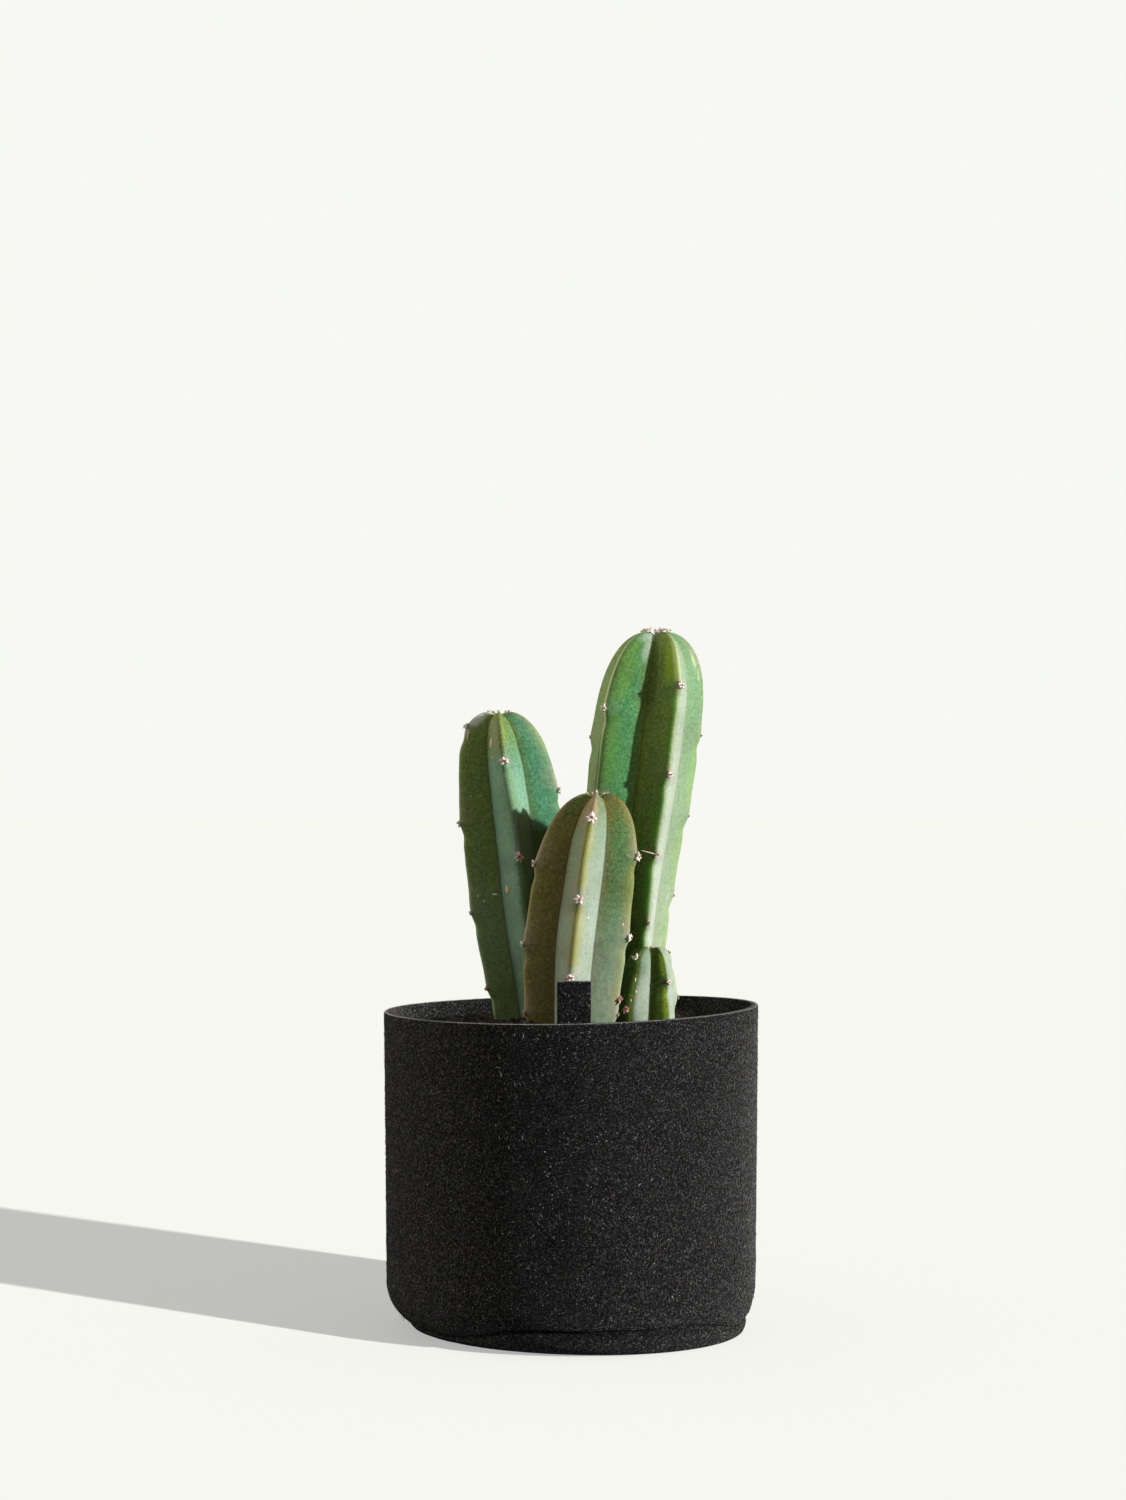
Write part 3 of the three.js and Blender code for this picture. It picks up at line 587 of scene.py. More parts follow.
def seam_depth(angle):
    return 0.12 + 1.3 * plateaus(angle, SEAM_MARKS)


def painted_seam_shade(angle):
    """How much painted shade the crease along the seam gets, from 0 to 1. It smooths out to the left"""
    return np.clip(plateaus(angle, SEAM_MARKS), 0, 1)


def wall_radius(angle, z):
    turned_in = foot_radius(angle) - CORNER_TURN_IN
    drop = np.clip((CORNER_HEIGHT - z) / CORNER_HEIGHT, 0, 1)
    corner = turned_in + (LOW_RADIUS - turned_in) * np.sqrt(1 - drop ** 2)
    heights = [CORNER_HEIGHT, MID_HEIGHT, RIM_HEIGHT, 2 * RIM_HEIGHT - MID_HEIGHT]
    upper = np.interp(z, heights, [LOW_RADIUS, MID_RADIUS, RIM_RADIUS, 2 * RIM_RADIUS - MID_RADIUS])
    return np.where(z < CORNER_HEIGHT, corner, upper)


def wall_point(angle, z, depth):
    """Radius and height of a point in the wall's section, a depth square into the felt from the outer face"""
    slope = (wall_radius(angle, z + 0.1) - wall_radius(angle, z - 0.1)) / 0.2
    length = np.hypot(1, slope)
    return joined(wall_radius(angle, z) - depth / length, z + depth * slope / length)


def placed(angle, section):
    """Points in space from radius and height at an angle"""
    a = np.radians(angle)
    return joined(section[..., 0] * np.sin(a), -section[..., 0] * np.cos(a), section[..., 1])


def felt_relief(angle, z, seed):
    """Fine unevenness of needled felt, outward of the plain surface"""
    return layered_noise(angle / 360 * POT_LENGTH, z, FELT_RELIEF, seed, POT_LENGTH)


def folds(angle, z):
    """Depth of the short folds, each with a low ridge beside it"""
    u = np.radians(angle) * LOW_RADIUS
    depth = np.zeros(np.shape(u))
    for a0, z0, a1, z1, deep in FOLDS:
        u0, u1 = math.radians(a0) * LOW_RADIUS, math.radians(a1) * LOW_RADIUS
        run, rise = u1 - u0, z1 - z0
        share = np.clip(((u - u0) * run + (z - z0) * rise) / (run ** 2 + rise ** 2), 0, 1)
        away = np.hypot(u - u0 - share * run, z - z0 - share * rise)
        depth += deep * np.sin(np.pi * np.clip(share, 0.12, 0.88)) * bell(away, 0.75)
        depth -= 0.35 * deep * bell(away - 2, 1.2) * (z > z0 - 3)
    return depth


# The pot's pieces
def felt_wall(material):
    """The wall as rings: up its outer face, over the rim and down its inner face"""
    columns = 400
    angle = even_angles(columns)
    signed = (angle + 180) % 360 - 180
    seam, rim, deep = seam_height(angle), rim_height(angle), seam_depth(angle)
    low = SEAM_ROLL + [(step, 0.0) for step in np.arange(2.8, 12, 0.8)]
    outer = [(seam + step, share * deep) for step, share in low]
    start = seam + low[-1][0] + 1.2
    outer += [(start + (rim - EDGE_ROUNDING - start) * share, 0.0) for share in np.linspace(0, 1, 84)]
    points = [wall_point(angle, seam + 0.05, deep)]
    for z, depth in outer:
        points.append(wall_point(angle, z, depth - felt_relief(angle, z, 21) + folds(signed, z)))
    edge = [0.0] * len(points)
    outside = wall_radius(angle, rim)
    turns = np.radians([25, 50, 75])
    for a, paleness in zip(turns, (0.1, 0.5, 1.0)):
        inward = EDGE_ROUNDING * (1 - np.cos(a))
        points.append(joined(outside - inward - 0.1, rim - EDGE_ROUNDING * (1 - np.sin(a))))
        edge.append(paleness)
    for depth, paleness in zip(np.linspace(EDGE_ROUNDING, FELT - EDGE_ROUNDING, 4), (1, 0.3, 0.15, 0.1)):
        lift = 0.12 * soft_noise(angle / 360 * POT_LENGTH, 9 * depth, 1.5, 31, POT_LENGTH)
        points.append(joined(outside - depth, rim + lift - 0.06))
        edge.append(paleness)
    for a in turns[::-1]:
        inward = FELT - EDGE_ROUNDING * (1 - np.cos(a))
        points.append(joined(outside - inward, rim - EDGE_ROUNDING * (1 - np.sin(a))))
        edge.append(0.03)
    inner = [rim - EDGE_ROUNDING - step for step in (0, 1.2, 2.4, 3.6, 4.8, 6, 7.5, 9.5, 13)]
    for z in [*inner, 100, MID_HEIGHT, CORNER_HEIGHT, seam + 6, seam + 2.5, seam]:
        points.append(wall_point(angle, z, FELT + 0.5 * felt_relief(angle, z, 41) - 0.1))
        edge.append(0.0)
    shades = np.zeros((len(points), columns))
    shades[:len(PAINTED_SEAM_SHADES)] = np.outer(PAINTED_SEAM_SHADES, painted_seam_shade(angle))
    rings = placed(angle, np.stack(points))
    layers = {"edge": np.repeat(edge, columns), "seam": shades}
    faces = [grid_faces(*shades.shape, looped=True)]
    return add_mesh("pot_wall", rings.reshape(-1, 3), faces, material, layers)


def felt_base(material):
    """The base panel: flat, then turned up at its edge and tucked inside the wall"""
    columns = 360
    angle = even_angles(columns)
    seam, foot, deep = seam_height(angle), foot_radius(angle), seam_depth(angle)
    shoulder, tucked = (wall_point(angle, seam, depth) for depth in (0.1, FELT + SEAT_GAP))
    points = [joined(foot * share, 0) for share in (0.3, 0.6, 0.85, 1)]
    shades = [np.zeros(columns)] * len(points)
    for degrees in range(6, 91, 6):
        a = math.radians(degrees)
        r = foot + (shoulder[:, 0] - foot) * math.sin(a)
        z = (shoulder[:, 1] - SEAT_GAP) * (1 - math.cos(a))
        relief = felt_relief(angle, 40 + z * 2, 51) * min(1, degrees / 30) + BASE_BULGE * math.sin(2 * a)
        tuck = np.exp(-((seam - SEAT_GAP - z) / 0.55))
        points.append(joined(r + relief - deep * tuck, z))
        # Painted shade where the base tucks into the crease
        shades.append(smooth(1.8 * tuck) * painted_seam_shade(angle))
    points += [
        wall_point(angle, seam - 0.25, deep),
        joined(tucked[:, 0] + 0.9, (shoulder[:, 1] + tucked[:, 1]) / 2 - SEAT_GAP),
        tucked - [0, SEAT_GAP],
        wall_point(angle, seam + 3, FELT + SEAT_GAP),
        wall_point(angle, seam + HEM_HEIGHT, FELT + SEAT_GAP),
        wall_point(angle, seam + HEM_HEIGHT, 2 * FELT + SEAT_GAP),
        joined(tucked[:, 0] - 2 * FELT, 2.2 * FELT),
        joined(foot - 2 * FELT, FELT),
        joined((foot - 2 * FELT) * 0.6, FELT),
    ]
    shades += [shades[-1]] * (len(points) - len(shades))
    points, faces = lofted(placed(angle, np.stack(points)), [0, 0, 0], [0, 0, FELT])
    layers = {"edge": np.zeros(len(points)), "seam": np.concatenate([*shades, [0, 0]])}
    return add_mesh("pot_base", points, faces, material, layers)


def tab_outline():
    """The tab's section as points across and through it: a rectangle with round corners"""
    half_width, half_thick = TAB_WIDTH / 2, FELT / 2
    across = np.linspace(-half_width + TAB_CORNER, half_width - TAB_CORNER, 22)
    turns = [(TAB_CORNER * math.sin(a), TAB_CORNER * (1 - math.cos(a))) for a in np.radians([30, 60, 90])]
    half = [(x, -half_thick) for x in across]
    half += [(half_width - TAB_CORNER + along, -half_thick + aside) for along, aside in turns]
    half += [(half_width, 0), (half_width, half_thick - TAB_CORNER)]
    half += [(half_width - aside, half_thick - TAB_CORNER + along) for along, aside in turns]
    half = np.array(half)
    return np.concatenate([half, -half])


def felt_tab(material):
    """The tab as rings up its height that follow the wall's curve"""
    back = wall_radius(TAB_TURN, TAB_BOTTOM) - FELT - 0.45
    half_width, half_thick = TAB_WIDTH / 2, FELT / 2
    outline = tab_outline()
    turns = np.radians([30, 60, 85])
    heights = list(np.linspace(TAB_BOTTOM, TAB_TOP - TAB_CORNER, 30))
    heights += list(TAB_TOP - TAB_CORNER * (1 - np.sin(turns)))
    shrink = [0] * 30 + list(TAB_CORNER * (1 - np.cos(turns)))
    rings, edge = [], []
    for z, less in zip(heights, shrink):
        x, y = (outline * [1 - less / half_width, 1 - less / half_thick]).T
        rough = 0.1 * soft_noise(x + 3 * y, z, 1.6, 61) * (np.abs(y) > half_thick * 0.8)
        radius = back - half_thick - y * (1 + rough * 0.5)
        height = z + 0.15 * soft_noise(x, z, 3, 62) * (less > 0)
        rings.append(placed(TAB_TURN + np.degrees(x / back), joined(radius, height)))
        edge.append(0.4 if less > 0.25 else 0.0)
    rings = np.stack(rings)[:, ::-1]
    points, faces = capped(rings, [0, 0, 0.05])
    layers = {"edge": [*np.repeat(edge, len(outline)), 0, 0.4], "seam": np.zeros(len(points))}
    return add_mesh("pot_tab", points, faces, material, layers)


def felt_fibres(material):
    """Short loose fibres lying on the felt, a few lifting off it, sunk at the root"""
    rng = np.random.default_rng(71)
    angle = rng.uniform(0, 360, FIBRES)
    rim, lowest = rim_height(angle), seam_height(angle) + 1.5
    z = lowest + (rim - lowest) * rng.uniform(0, 1, FIBRES)
    start = placed(angle, wall_point(angle, z, 0.12))
    outward, around = (placed(turned, np.array([1, 0])) for turned in (angle, angle + 90))
    lean = rng.uniform(0, 2 * np.pi, FIBRES)
    tangent = np.cos(lean)[:, None] * around + np.sin(lean)[:, None] * np.array([[0, 0, 1.0]])
    length = rng.uniform(0.7, 2.3, FIBRES)
    lift = rng.uniform(0.1, 0.4, FIBRES)[:, None]
    direction = unit(tangent + lift * outward)
    bend = -0.4 * lift * outward + rng.uniform(-0.5, 0.5, FIBRES)[:, None] * np.cross(outward, tangent)
    length = np.minimum(length, np.where(tangent[:, 2] > 0, (rim - z - 0.3) / 1.2, length).clip(0.2))
    points, faces, _ = strands(start, direction, bend, length, rng.uniform(0.05, 0.11, FIBRES), [1, 0.9, 0.4])
    pale = rng.uniform(0, 1, FIBRES) < 0.25
    tone = np.where(pale, rng.uniform(0.15, 1, FIBRES), rng.uniform(0, 0.08, FIBRES))
    return add_mesh("pot_fibres", points, faces, material, {"tone": np.repeat(tone, len(points) // FIBRES)})


# Stems: the same form as the solids, with finer rows and a slight unevenness
def equal_steps(values, t):
    """Catmull-Rom curve through values at equal steps of t, carried on straight at its ends"""
    values = np.asarray(values, float)
    ends = np.concatenate([[2 * values[0] - values[1]], values, [2 * values[-1] - values[-2]]])
    x = np.clip(t, 0, 1) * (len(values) - 1)
    i = np.minimum(x.astype(int), len(values) - 2)
    f = x - i
    a, b, c, d = ends[i], ends[i + 1], ends[i + 2], ends[i + 3]
    bend, twist = 2 * a - 5 * b + 4 * c - d, 3 * b - a - 3 * c + d
    return 0.5 * (2 * b + (c - a) * f + bend * f ** 2 + twist * f ** 3)


def relative_radius(off_crest, groove):
    """The skin's distance from the stem's middle as a share of the crest's, between a crest and a groove"""
    half, rounding = math.radians(RIB_STEP / 2), math.radians(CREST_ROUNDING)
    a = np.sqrt(off_crest ** 2 + rounding ** 2) - rounding
    face = groove * math.sin(half) / (np.sin(a) + groove * np.sin(half - a))
    return face + FACE_BULGE * np.sin(np.pi * np.minimum(off_crest, half) / half)


def areole_relief(stem, rib, z):
    """The shoulder at each areole and the notch below it"""
    relief = np.zeros_like(z)
    for k in range(RIBS):
        for areole in stem["areoles"][k]:
            above = z - areole
            shoulder = SHOULDER_HEIGHT * bell(above, SHOULDER_SPREAD)
            notch = NOTCH_DEPTH * bell(above + NOTCH_BELOW, NOTCH_SPREAD)
            relief += np.where(rib % RIBS == k, shoulder - notch, 0)
    return relief


def skin_point(stem, angle, level):
    """Points of a stem's skin. The angle is counted from the first rib's crest. The level is a height below
    the dome when negative, and an angle up the dome when positive."""
    angle, level = np.broadcast_arrays(np.asarray(angle, float), np.asarray(level, float))
    up = np.sin(np.radians(np.maximum(level, 0)))
    z = stem["tip"] - stem["dome"] + np.where(level > 0, stem["dome"] * up, level)
    t = np.clip((z - LINE_START) / (stem["tip"] - LINE_START), 0, 1)
    x, y = (equal_steps(values, t) for values in zip(*stem["line"]))
    buried = np.maximum(0, SOIL_TOP - z) / PLANTING_DEPTH
    fullness = stem["fullness"]
    narrowing = np.maximum(1 - up ** fullness, 0) ** (1 / fullness) * (1 - (1 - ROOT_TAPER) * buried)
    crest = equal_steps(stem["radii"], t) * narrowing
    rib = np.round(angle / RIB_STEP).astype(int)
    from_crest = angle - rib * RIB_STEP
    groove = np.array(stem["grooves"])[np.where(from_crest < 0, rib - 1, rib) % RIBS]
    relative = relative_radius(np.abs(np.radians(from_crest)), groove)
    on_crest = np.maximum(0, 1 - np.abs(from_crest) / NOTCH_WIDTH)
    relief = areole_relief(stem, rib, z) * np.where(buried > 0, 0, on_crest * narrowing)
    around = angle / 360 * SWELL_GIRTH
    swell = 0.22 * soft_noise(around, z, 14, stem["seed"], SWELL_GIRTH)
    swell = swell + 0.1 * soft_noise(around, z, 5, stem["seed"] + 50, SWELL_GIRTH)
    radius = crest * relative + relief + swell * narrowing
    in_groove = (1 - relative) / (1 - groove)
    dip = TIP_DIP * (in_groove * up ** 2 + (1 - in_groove) * bell(crest, TIP_DIP_RADIUS))
    wander = 1.3 * soft_noise(rib % RIBS * 7.3, z, 17, stem["seed"] + 9)
    sways = stem.get("sways", [0] * 2 * RIBS)
    sway = np.interp(angle % 360, np.arange(2 * RIBS + 1) * RIB_STEP / 2, [*sways, sways[0]])
    turn = np.radians(stem["turn"] + stem["twist"] * t + angle + sway + wander * on_crest)
    return joined(x + radius * np.sin(turn), y - radius * np.cos(turn), z - dip)


HALF_RIB = [0, 1.1, 2.3, 3.6, 5, 6.6, 8.4, 10.5, 13, 15.5, 18, 20.5, 23, 25.5, 28, 30.2, 32.2, 33.8, 35.1]
RIB_ANGLES = HALF_RIB + [RIB_STEP / 2] + [RIB_STEP - a for a in HALF_RIB[:0:-1]]


def along_rib(stem, rib, z):
    """How far each point is from the areole above it to the one below, from 0 to 1, and from the nearest"""
    share, near = np.zeros_like(z), np.full_like(z, 1e3)
    for k in range(RIBS):
        own = [stem["tip"] - 2.5, *stem["areoles"][k]]
        own.append(own[-1] - AREOLE_SPACING)
        for high, low in zip(own, own[1:]):
            share = np.where((rib == k) & (z <= high) & (z > low), (high - z) / (high - low), share)
        for areole in own[1:]:
            near = np.where(rib == k, np.minimum(near, np.abs(z - areole)), near)
    return share, near


def by_rib(skin, key, empty):
    """A skin's table as an array with a row for each rib"""
    values = skin.get(key, {})
    rows = [values.get(k, empty) for k in range(RIBS)] if isinstance(values, dict) else values
    return np.array(rows, float)


def skin_layers(name, stem, angle, rings):
    """Values at each point for the skin's shader"""
    skin = SKINS[name]
    angle = np.broadcast_to(angle, rings.shape[:2])
    rib = np.round(angle / RIB_STEP).astype(int)
    offset = angle - rib * RIB_STEP
    rib = rib % RIBS
    z = rings[..., 2]
    height = np.clip((z - SOIL_TOP) / (stem["tip"] - SOIL_TOP), 0, 1)
    low, crown = smooth((0.62 - height) / 0.4), smooth((height - 0.8) / 0.16)
    lit = {key: by_rib(skin, key, 0)[rib] for key in (
        "edges", "line_widths", "shifts", "corks", "line_tones", "ridges", "painted_shade_tops")}

    def of_face(key):
        """The value of each point's face, blended over crests and grooves"""
        table = by_rib(skin, key, (0, 0))
        right = smooth((offset - lit["edges"] + 4.5) / 9)
        value = table[rib, 0] * (1 - right) + table[rib, 1] * right
        beside = np.where(offset > 0, table[(rib + 1) % RIBS, 0], table[(rib - 1) % RIBS, 1])
        share = 0.5 * smooth((np.abs(offset) - 31) / 5)
        return value * (1 - share) + beside * share

    share, near = along_rib(stem, rib, z)
    around = angle / 360 * SKIN_GIRTH
    wide = soft_noise(around, z, 9, stem["seed"] + 20, SKIN_GIRTH)
    fine = soft_noise(around, z, 3, stem["seed"] + 21, SKIN_GIRTH)
    swing = 1 + 0.35 * wide + 0.2 * fine
    across = np.radians(offset) * SKIN_RADIUS
    to_groove = RIB_STEP / 2 - np.abs(offset)
    fresh = smooth((z - np.array([heights[0] for heights in stem["areoles"]])[rib] + 1) / 4)
    width = lit["line_widths"] * swing * (0.75 + 0.45 * np.sin(np.pi * share)) * (1.4 - 0.6 * height)
    off_line = across - np.radians(lit["shifts"]) * SKIN_RADIUS * (1 + 0.3 * fresh)
    strength = by_rib(skin, "lines", (0, 0))[rib]
    line = bell(off_line, width) * smooth((share - 0.03) / 0.08)
    line *= 1 - smooth((share - skin["line_end"] + 0.16) / 0.16)
    line *= strength[..., 0] * fresh + strength[..., 1] * (1 - fresh)
    cork = bell(across, 3.6 * swing) * smooth((share - 0.45) / 0.4)
    cork = np.maximum(cork, 0.9 * smooth((height - 0.8) / 0.14) * (1 - smooth(np.abs(offset) / 17)))
    # Bloom by face is partly a painted highlight on faces turned to the light, and olive by face partly
    # painted shade on faces turned from it
    bloom = of_face("blooms_with_painted_highlight") * (1 + 0.15 * wide) * (1 + 1.4 * (0.5 - height)) + low * of_face("low_blooms")
    bloom = np.maximum(bloom, 0.25 * bell(np.hypot(across, near), 4)) + crown * of_face("top_blooms")
    olive = of_face("olives_with_painted_shade") * (1 + 0.15 * fine) + 0.3 * bell(offset, 9)
    # Painted shade: an olive tint near each groove, less where the face is bloomed
    olive = olive + 0.7 * bell(to_groove, 9) * (1 - of_face("blooms_with_painted_highlight"))
    layers = {
        "olive": olive + crown * of_face("top_olives"),
        "bloom": bloom,
        "line": 0.9 * line,
        "low": low,
        "fresh": np.maximum(fresh, lit["line_tones"]),
        "cork": cork * lit["corks"] + crown * of_face("top_corks"),
        # Pale band: partly whitish bloom, partly a painted highlight on faces turned to the light
        "pale_band_and_painted_highlight": of_face("whites_and_painted_highlights") * (1 + 0.2 * wide) * (1 - 0.4 * fresh),
        "ridge": bell(across, 0.34) * lit["ridges"],
        # Painted shade along the bottom of each groove
        "groove": bell(to_groove, 1.6),
        # Painted shade and shadow: the deep layer, by face and up to a height
        "deep": of_face("painted_shades") * smooth((lit["painted_shade_tops"] - z) / skin["painted_shade_fade"]),
    }
    for key, k, at, level, half_width, half_height, strength in MARKS.get(name, []):
        away = np.hypot(np.radians(offset - at) * SKIN_RADIUS / half_width, (z - level) / half_height)
        layers[key] = np.maximum(layers[key], np.where(rib == k, strength * smooth(1.5 - away), 0))
    return {key: np.clip(value, 0, 1) for key, value in layers.items()}


def stem_body(name, stem, material):
    """A stem's skin as rings: a few on its buried end, then even steps up to the dome and over it"""
    angle = np.concatenate([np.array(RIB_ANGLES) + k * RIB_STEP for k in range(RIBS)])
    dome_base = stem["tip"] - stem["dome"]
    bottom, body = SOIL_TOP - PLANTING_DEPTH - dome_base, dome_base - SOIL_TOP + 3
    levels = np.concatenate([[bottom, bottom + 14, bottom + 26], np.linspace(-body, 0, round(body / 1.05)),
                             np.arange(2.2, 88, 2.2), [88.4, 89.2]])
    rings = skin_point(stem, angle[None], levels[:, None])
    points, faces = lofted(rings, rings[0].mean(0), skin_point(stem, 0, 90))
    layers = {key: np.concatenate([value.ravel(), [value[0].mean(), value[-1].mean()]])
              for key, value in skin_layers(name, stem, angle, rings).items()}
    return add_mesh(name + "_skin", points, faces, material, layers)


# Areoles
def dome_level(stem, z):
    """The level for skin_point of a height"""
    above = z - (stem["tip"] - stem["dome"])
    return math.degrees(math.asin(above / stem["dome"])) if above > 0 else above


def areole_places(stem):
    """Level, rib, size, rust and age of each areole: the young ones, then each rib's from the top down"""
    places = [(YOUNG_LEVEL, rib, stem["young"], 0.1, True) for rib in range(RIBS)]
    for rib in range(RIBS):
        sizes, rusts = stem["sizes"][rib], stem["rusts"][rib]
        for i, z in enumerate(stem["areoles"][rib]):
            rust = 0.9 if z < SOIL_TOP + 10 else rusts[min(i, len(rusts) - 1)]
            places.append((dome_level(stem, z), rib, sizes[min(i, len(sizes) - 1)], rust, False))
    return places + [(dome_level(stem, z), rib, size, 0.95, False) for z, rib, size in stem.get("buds", [])]


def skin_frame(stem, angle, level):
    """A point of the skin, and the directions across, along and out of it"""
    at = skin_point(stem, angle, level)
    along = unit(skin_point(stem, angle, level + 0.5) - at)
    across = unit(skin_point(stem, angle + 1, level) - skin_point(stem, angle - 1, level))
    out = unit(np.cross(across, along))
    return at, across, np.cross(out, across), out


def areole_frames(stem):
    """Place, directions across, along and out of each areole, and its size, rust and age"""
    return [(*skin_frame(stem, rib * RIB_STEP, level), *looks) for level, rib, *looks in areole_places(stem)]


def areole_wool(name, stem, frames, material):
    """A felted cushion under each areole, with short curled hairs on it, and the flakes of cork"""
    rng = np.random.default_rng(stem["seed"] + 100)
    pad = cushion_points()
    parts, looks = [], []
    for at, across, along, out, size, rust, young in frames:
        scale = np.array(WOOL_PAD) * size * rng.uniform(0.85, 1.15, 3)
        rings = at + uneven(rng, pad, 0.2) * scale @ np.stack([across, along, out])
        turn, tilt = rng.uniform(0, 2 * np.pi, HAIRS), np.radians(rng.uniform(5, 80, HAIRS))
        spread = np.sin(tilt)[:, None] * (np.cos(turn)[:, None] * across + np.sin(turn)[:, None] * along)
        direction = unit(spread + np.cos(tilt)[:, None] * out)
        start = at + direction * scale * 0.7
        bend = 0.6 * rng.uniform(-1, 1, (HAIRS, 3))
        length = rng.uniform(0.5, 1.1, HAIRS) * size
        *hairs, _ = strands(start, direction, bend, length, np.full(HAIRS, 0.08), [1, 0.8, 0.3])
        parts += [capped(rings, 0.05 * out), hairs]
        looks += [(rust, float(young), 0.0)] * 2
    for rib, offset, z, half_width, half_height, pale in FLAKES[name]:
        at, *directions = skin_frame(stem, rib * RIB_STEP + offset, dome_level(stem, z))
        flake = uneven(rng, pad, 0.25) * [half_width, half_height, 0.15]
        parts.append(capped(at + flake @ np.stack(directions)))
        looks.append((0.0, pale, 1.0))
    points, faces = gathered(parts)
    looks = np.repeat(looks, [len(body) for body, _ in parts], axis=0)
    return add_mesh(name + "_wool", points, faces, material, dict(zip(("rust", "pale", "flake"), looks.T)))


def spine_tone(rng, rust, young):
    """How rust brown a spine is: dark when young, and mostly pale in an areole with little rust"""
    tone = rng.uniform(0.5, 1.1) if young else rust * rng.uniform(0.6, 1.6)
    return min(1, tone) if young or rust > 0.1 else 0.35 * rng.uniform(0, 1) ** 3


def areole_spines(name, stem, frames, material):
    """Five or six short thick spines splayed in each areole, and thin dark ones in the young areoles"""
    rng = np.random.default_rng(stem["seed"] + 200)
    spines = []
    for at, across, along, out, size, rust, young in frames:
        form = YOUNG_SPINES if young else OLD_SPINES
        count = 8 if young else int(rng.integers(5, 7))
        turns = (np.arange(count) + rng.uniform(0, 1)) * 2 * np.pi / count + rng.uniform(-0.4, 0.4, count)
        for turn, lean in zip(turns, np.radians(rng.uniform(*form["leans"], count))):
            sideways = math.cos(turn) * across + math.sin(turn) * along
            spines.append((
                at + 0.6 * size * sideways * math.sin(lean) + 0.15 * out,
                math.sin(lean) * sideways + math.cos(lean) * out,
                0.2 * rng.uniform(-1, 1, 3),
                rng.uniform(*form["lengths"]) * size,
                rng.uniform(*form["radii"]) * size,
                spine_tone(rng, rust, young),
            ))
        if name == "stem_tall" and abs(at[2] - LONG_SPINE_HEIGHT) < 2 and at[0] > stem["line"][1][0]:
            direction = unit(np.array(LONG_SPINE_DIRECTION))
            spines.append((at - 0.5 * across, direction, np.array([0, 0, -0.04]), LONG_SPINE, 0.32, 0.5))
    *forms, tones = (np.array(values) for values in zip(*spines))
    points, faces, along = strands(*forms, [1, 1.05, 0.9, 0.62, 0.2], sides=7)
    layers = {"along": along, "rust": np.repeat(tones, len(points) // len(tones))}
    return add_mesh(name + "_spines", points, faces, material, layers)


# Soil: a crumbly surface, with loose crumbs on it
def stem_distance(x, y):
    """Distance to the nearest stem's crests at the soil's surface"""
    away = 1e3
    for stem in STEMS.values():
        cx, cy = stem["line"][0]
        away = np.minimum(away, np.hypot(x - cx, y - cy) - stem["radii"][0])
    return away


def soil_height(x, y):
    """The soil's surface: heaped a little round the stems and sunk towards the wall, most at the left"""
    bumps = SOIL_BUMP * (np.sin(x / 9 + 1) * np.cos(y / 11) + 0.5 * np.sin(x / 4.5 - y / 5.5))
    mound = 0.8 * np.exp(-np.maximum(stem_distance(x, y), 0) / 3.5)
    rim = np.clip((np.hypot(x, y) - 42) / 30, 0, 1) ** 1.5
    lean = np.maximum(0, (-x + 0.25 * y) / np.maximum(np.hypot(x, y), 1))
    mound = mound - rim * (0.6 + 4.6 * lean)
    return SOIL_TOP + bumps + mound + layered_noise(x, y, SOIL_RELIEF, 81) - 0.4


def soil_body(material):
    """The soil as rings: up inside the base and the wall, then from the wall to the middle of its surface"""
    angle = even_angles(420)
    reach = wall_point(angle, SOIL_TOP, FELT + SEAT_GAP)[:, 0]
    low = seam_height(angle) + HEM_HEIGHT + SEAT_GAP
    rings = [placed(angle, section) for section in (
        joined(foot_radius(angle) - 10, FELT + SEAT_GAP),
        joined(wall_point(angle, low, 2 * (FELT + SEAT_GAP))[:, 0] - 4, low - 1),
        joined(wall_point(angle, low, FELT + SEAT_GAP)[:, 0], low + 1.4),
        wall_point(angle, MID_HEIGHT, FELT + SEAT_GAP),
        joined(reach, SOIL_TOP - 3.0),
    )]
    for share in np.linspace(1, 0.012, 110):
        x, y, _ = placed(angle, joined(reach * share, 0)).T
        rings.append(joined(x, y, soil_height(x, y)))
    points, faces = lofted(np.stack(rings), [0, 0, FELT + SEAT_GAP], [0, 0, soil_height(0, 0)])
    return add_mesh("soil_bed", points, faces, material, {"tone": np.zeros(len(points))})


def soil_crumbs(material):
    """Irregular lumps, half sunk, thicker near the wall"""
    rng = np.random.default_rng(91)
    radius = 71 * np.sqrt(rng.uniform(0, 1, CRUMBS)) ** 0.9
    turn = rng.uniform(0, 2 * np.pi, CRUMBS)
    x, y = radius * np.cos(turn), radius * np.sin(turn)
    size = 0.45 + 1.1 * rng.uniform(0, 1, CRUMBS) ** 3
    clear = (stem_distance(x, y) > size * 0.6) & (np.hypot(x, y) + size < CRUMB_REACH)
    x, y, size = x[clear], y[clear], size[clear]
    pad = cushion_points(5, 8)
    parts = []
    for cx, cy, s in zip(x, y, size):
        squash = s * rng.uniform(0.6, 1.25, 3)
        lump = uneven(rng, pad, 0.25) * squash
        spin = rng.uniform(0, 2 * np.pi)
        c, w = math.cos(spin), math.sin(spin)
        lump = lump @ np.array([[c, w, 0], [-w, c, 0], [0, 0, 1]])
        parts.append(capped(lump + [cx, cy, soil_height(cx, cy) + 0.15 * s]))
    points, faces = gathered(parts)
    tone = np.repeat(rng.uniform(0, 1, len(x)) ** 2, len(parts[0][0]))
    return add_mesh("soil_crumbs", points, faces, material, {"tone": tone})


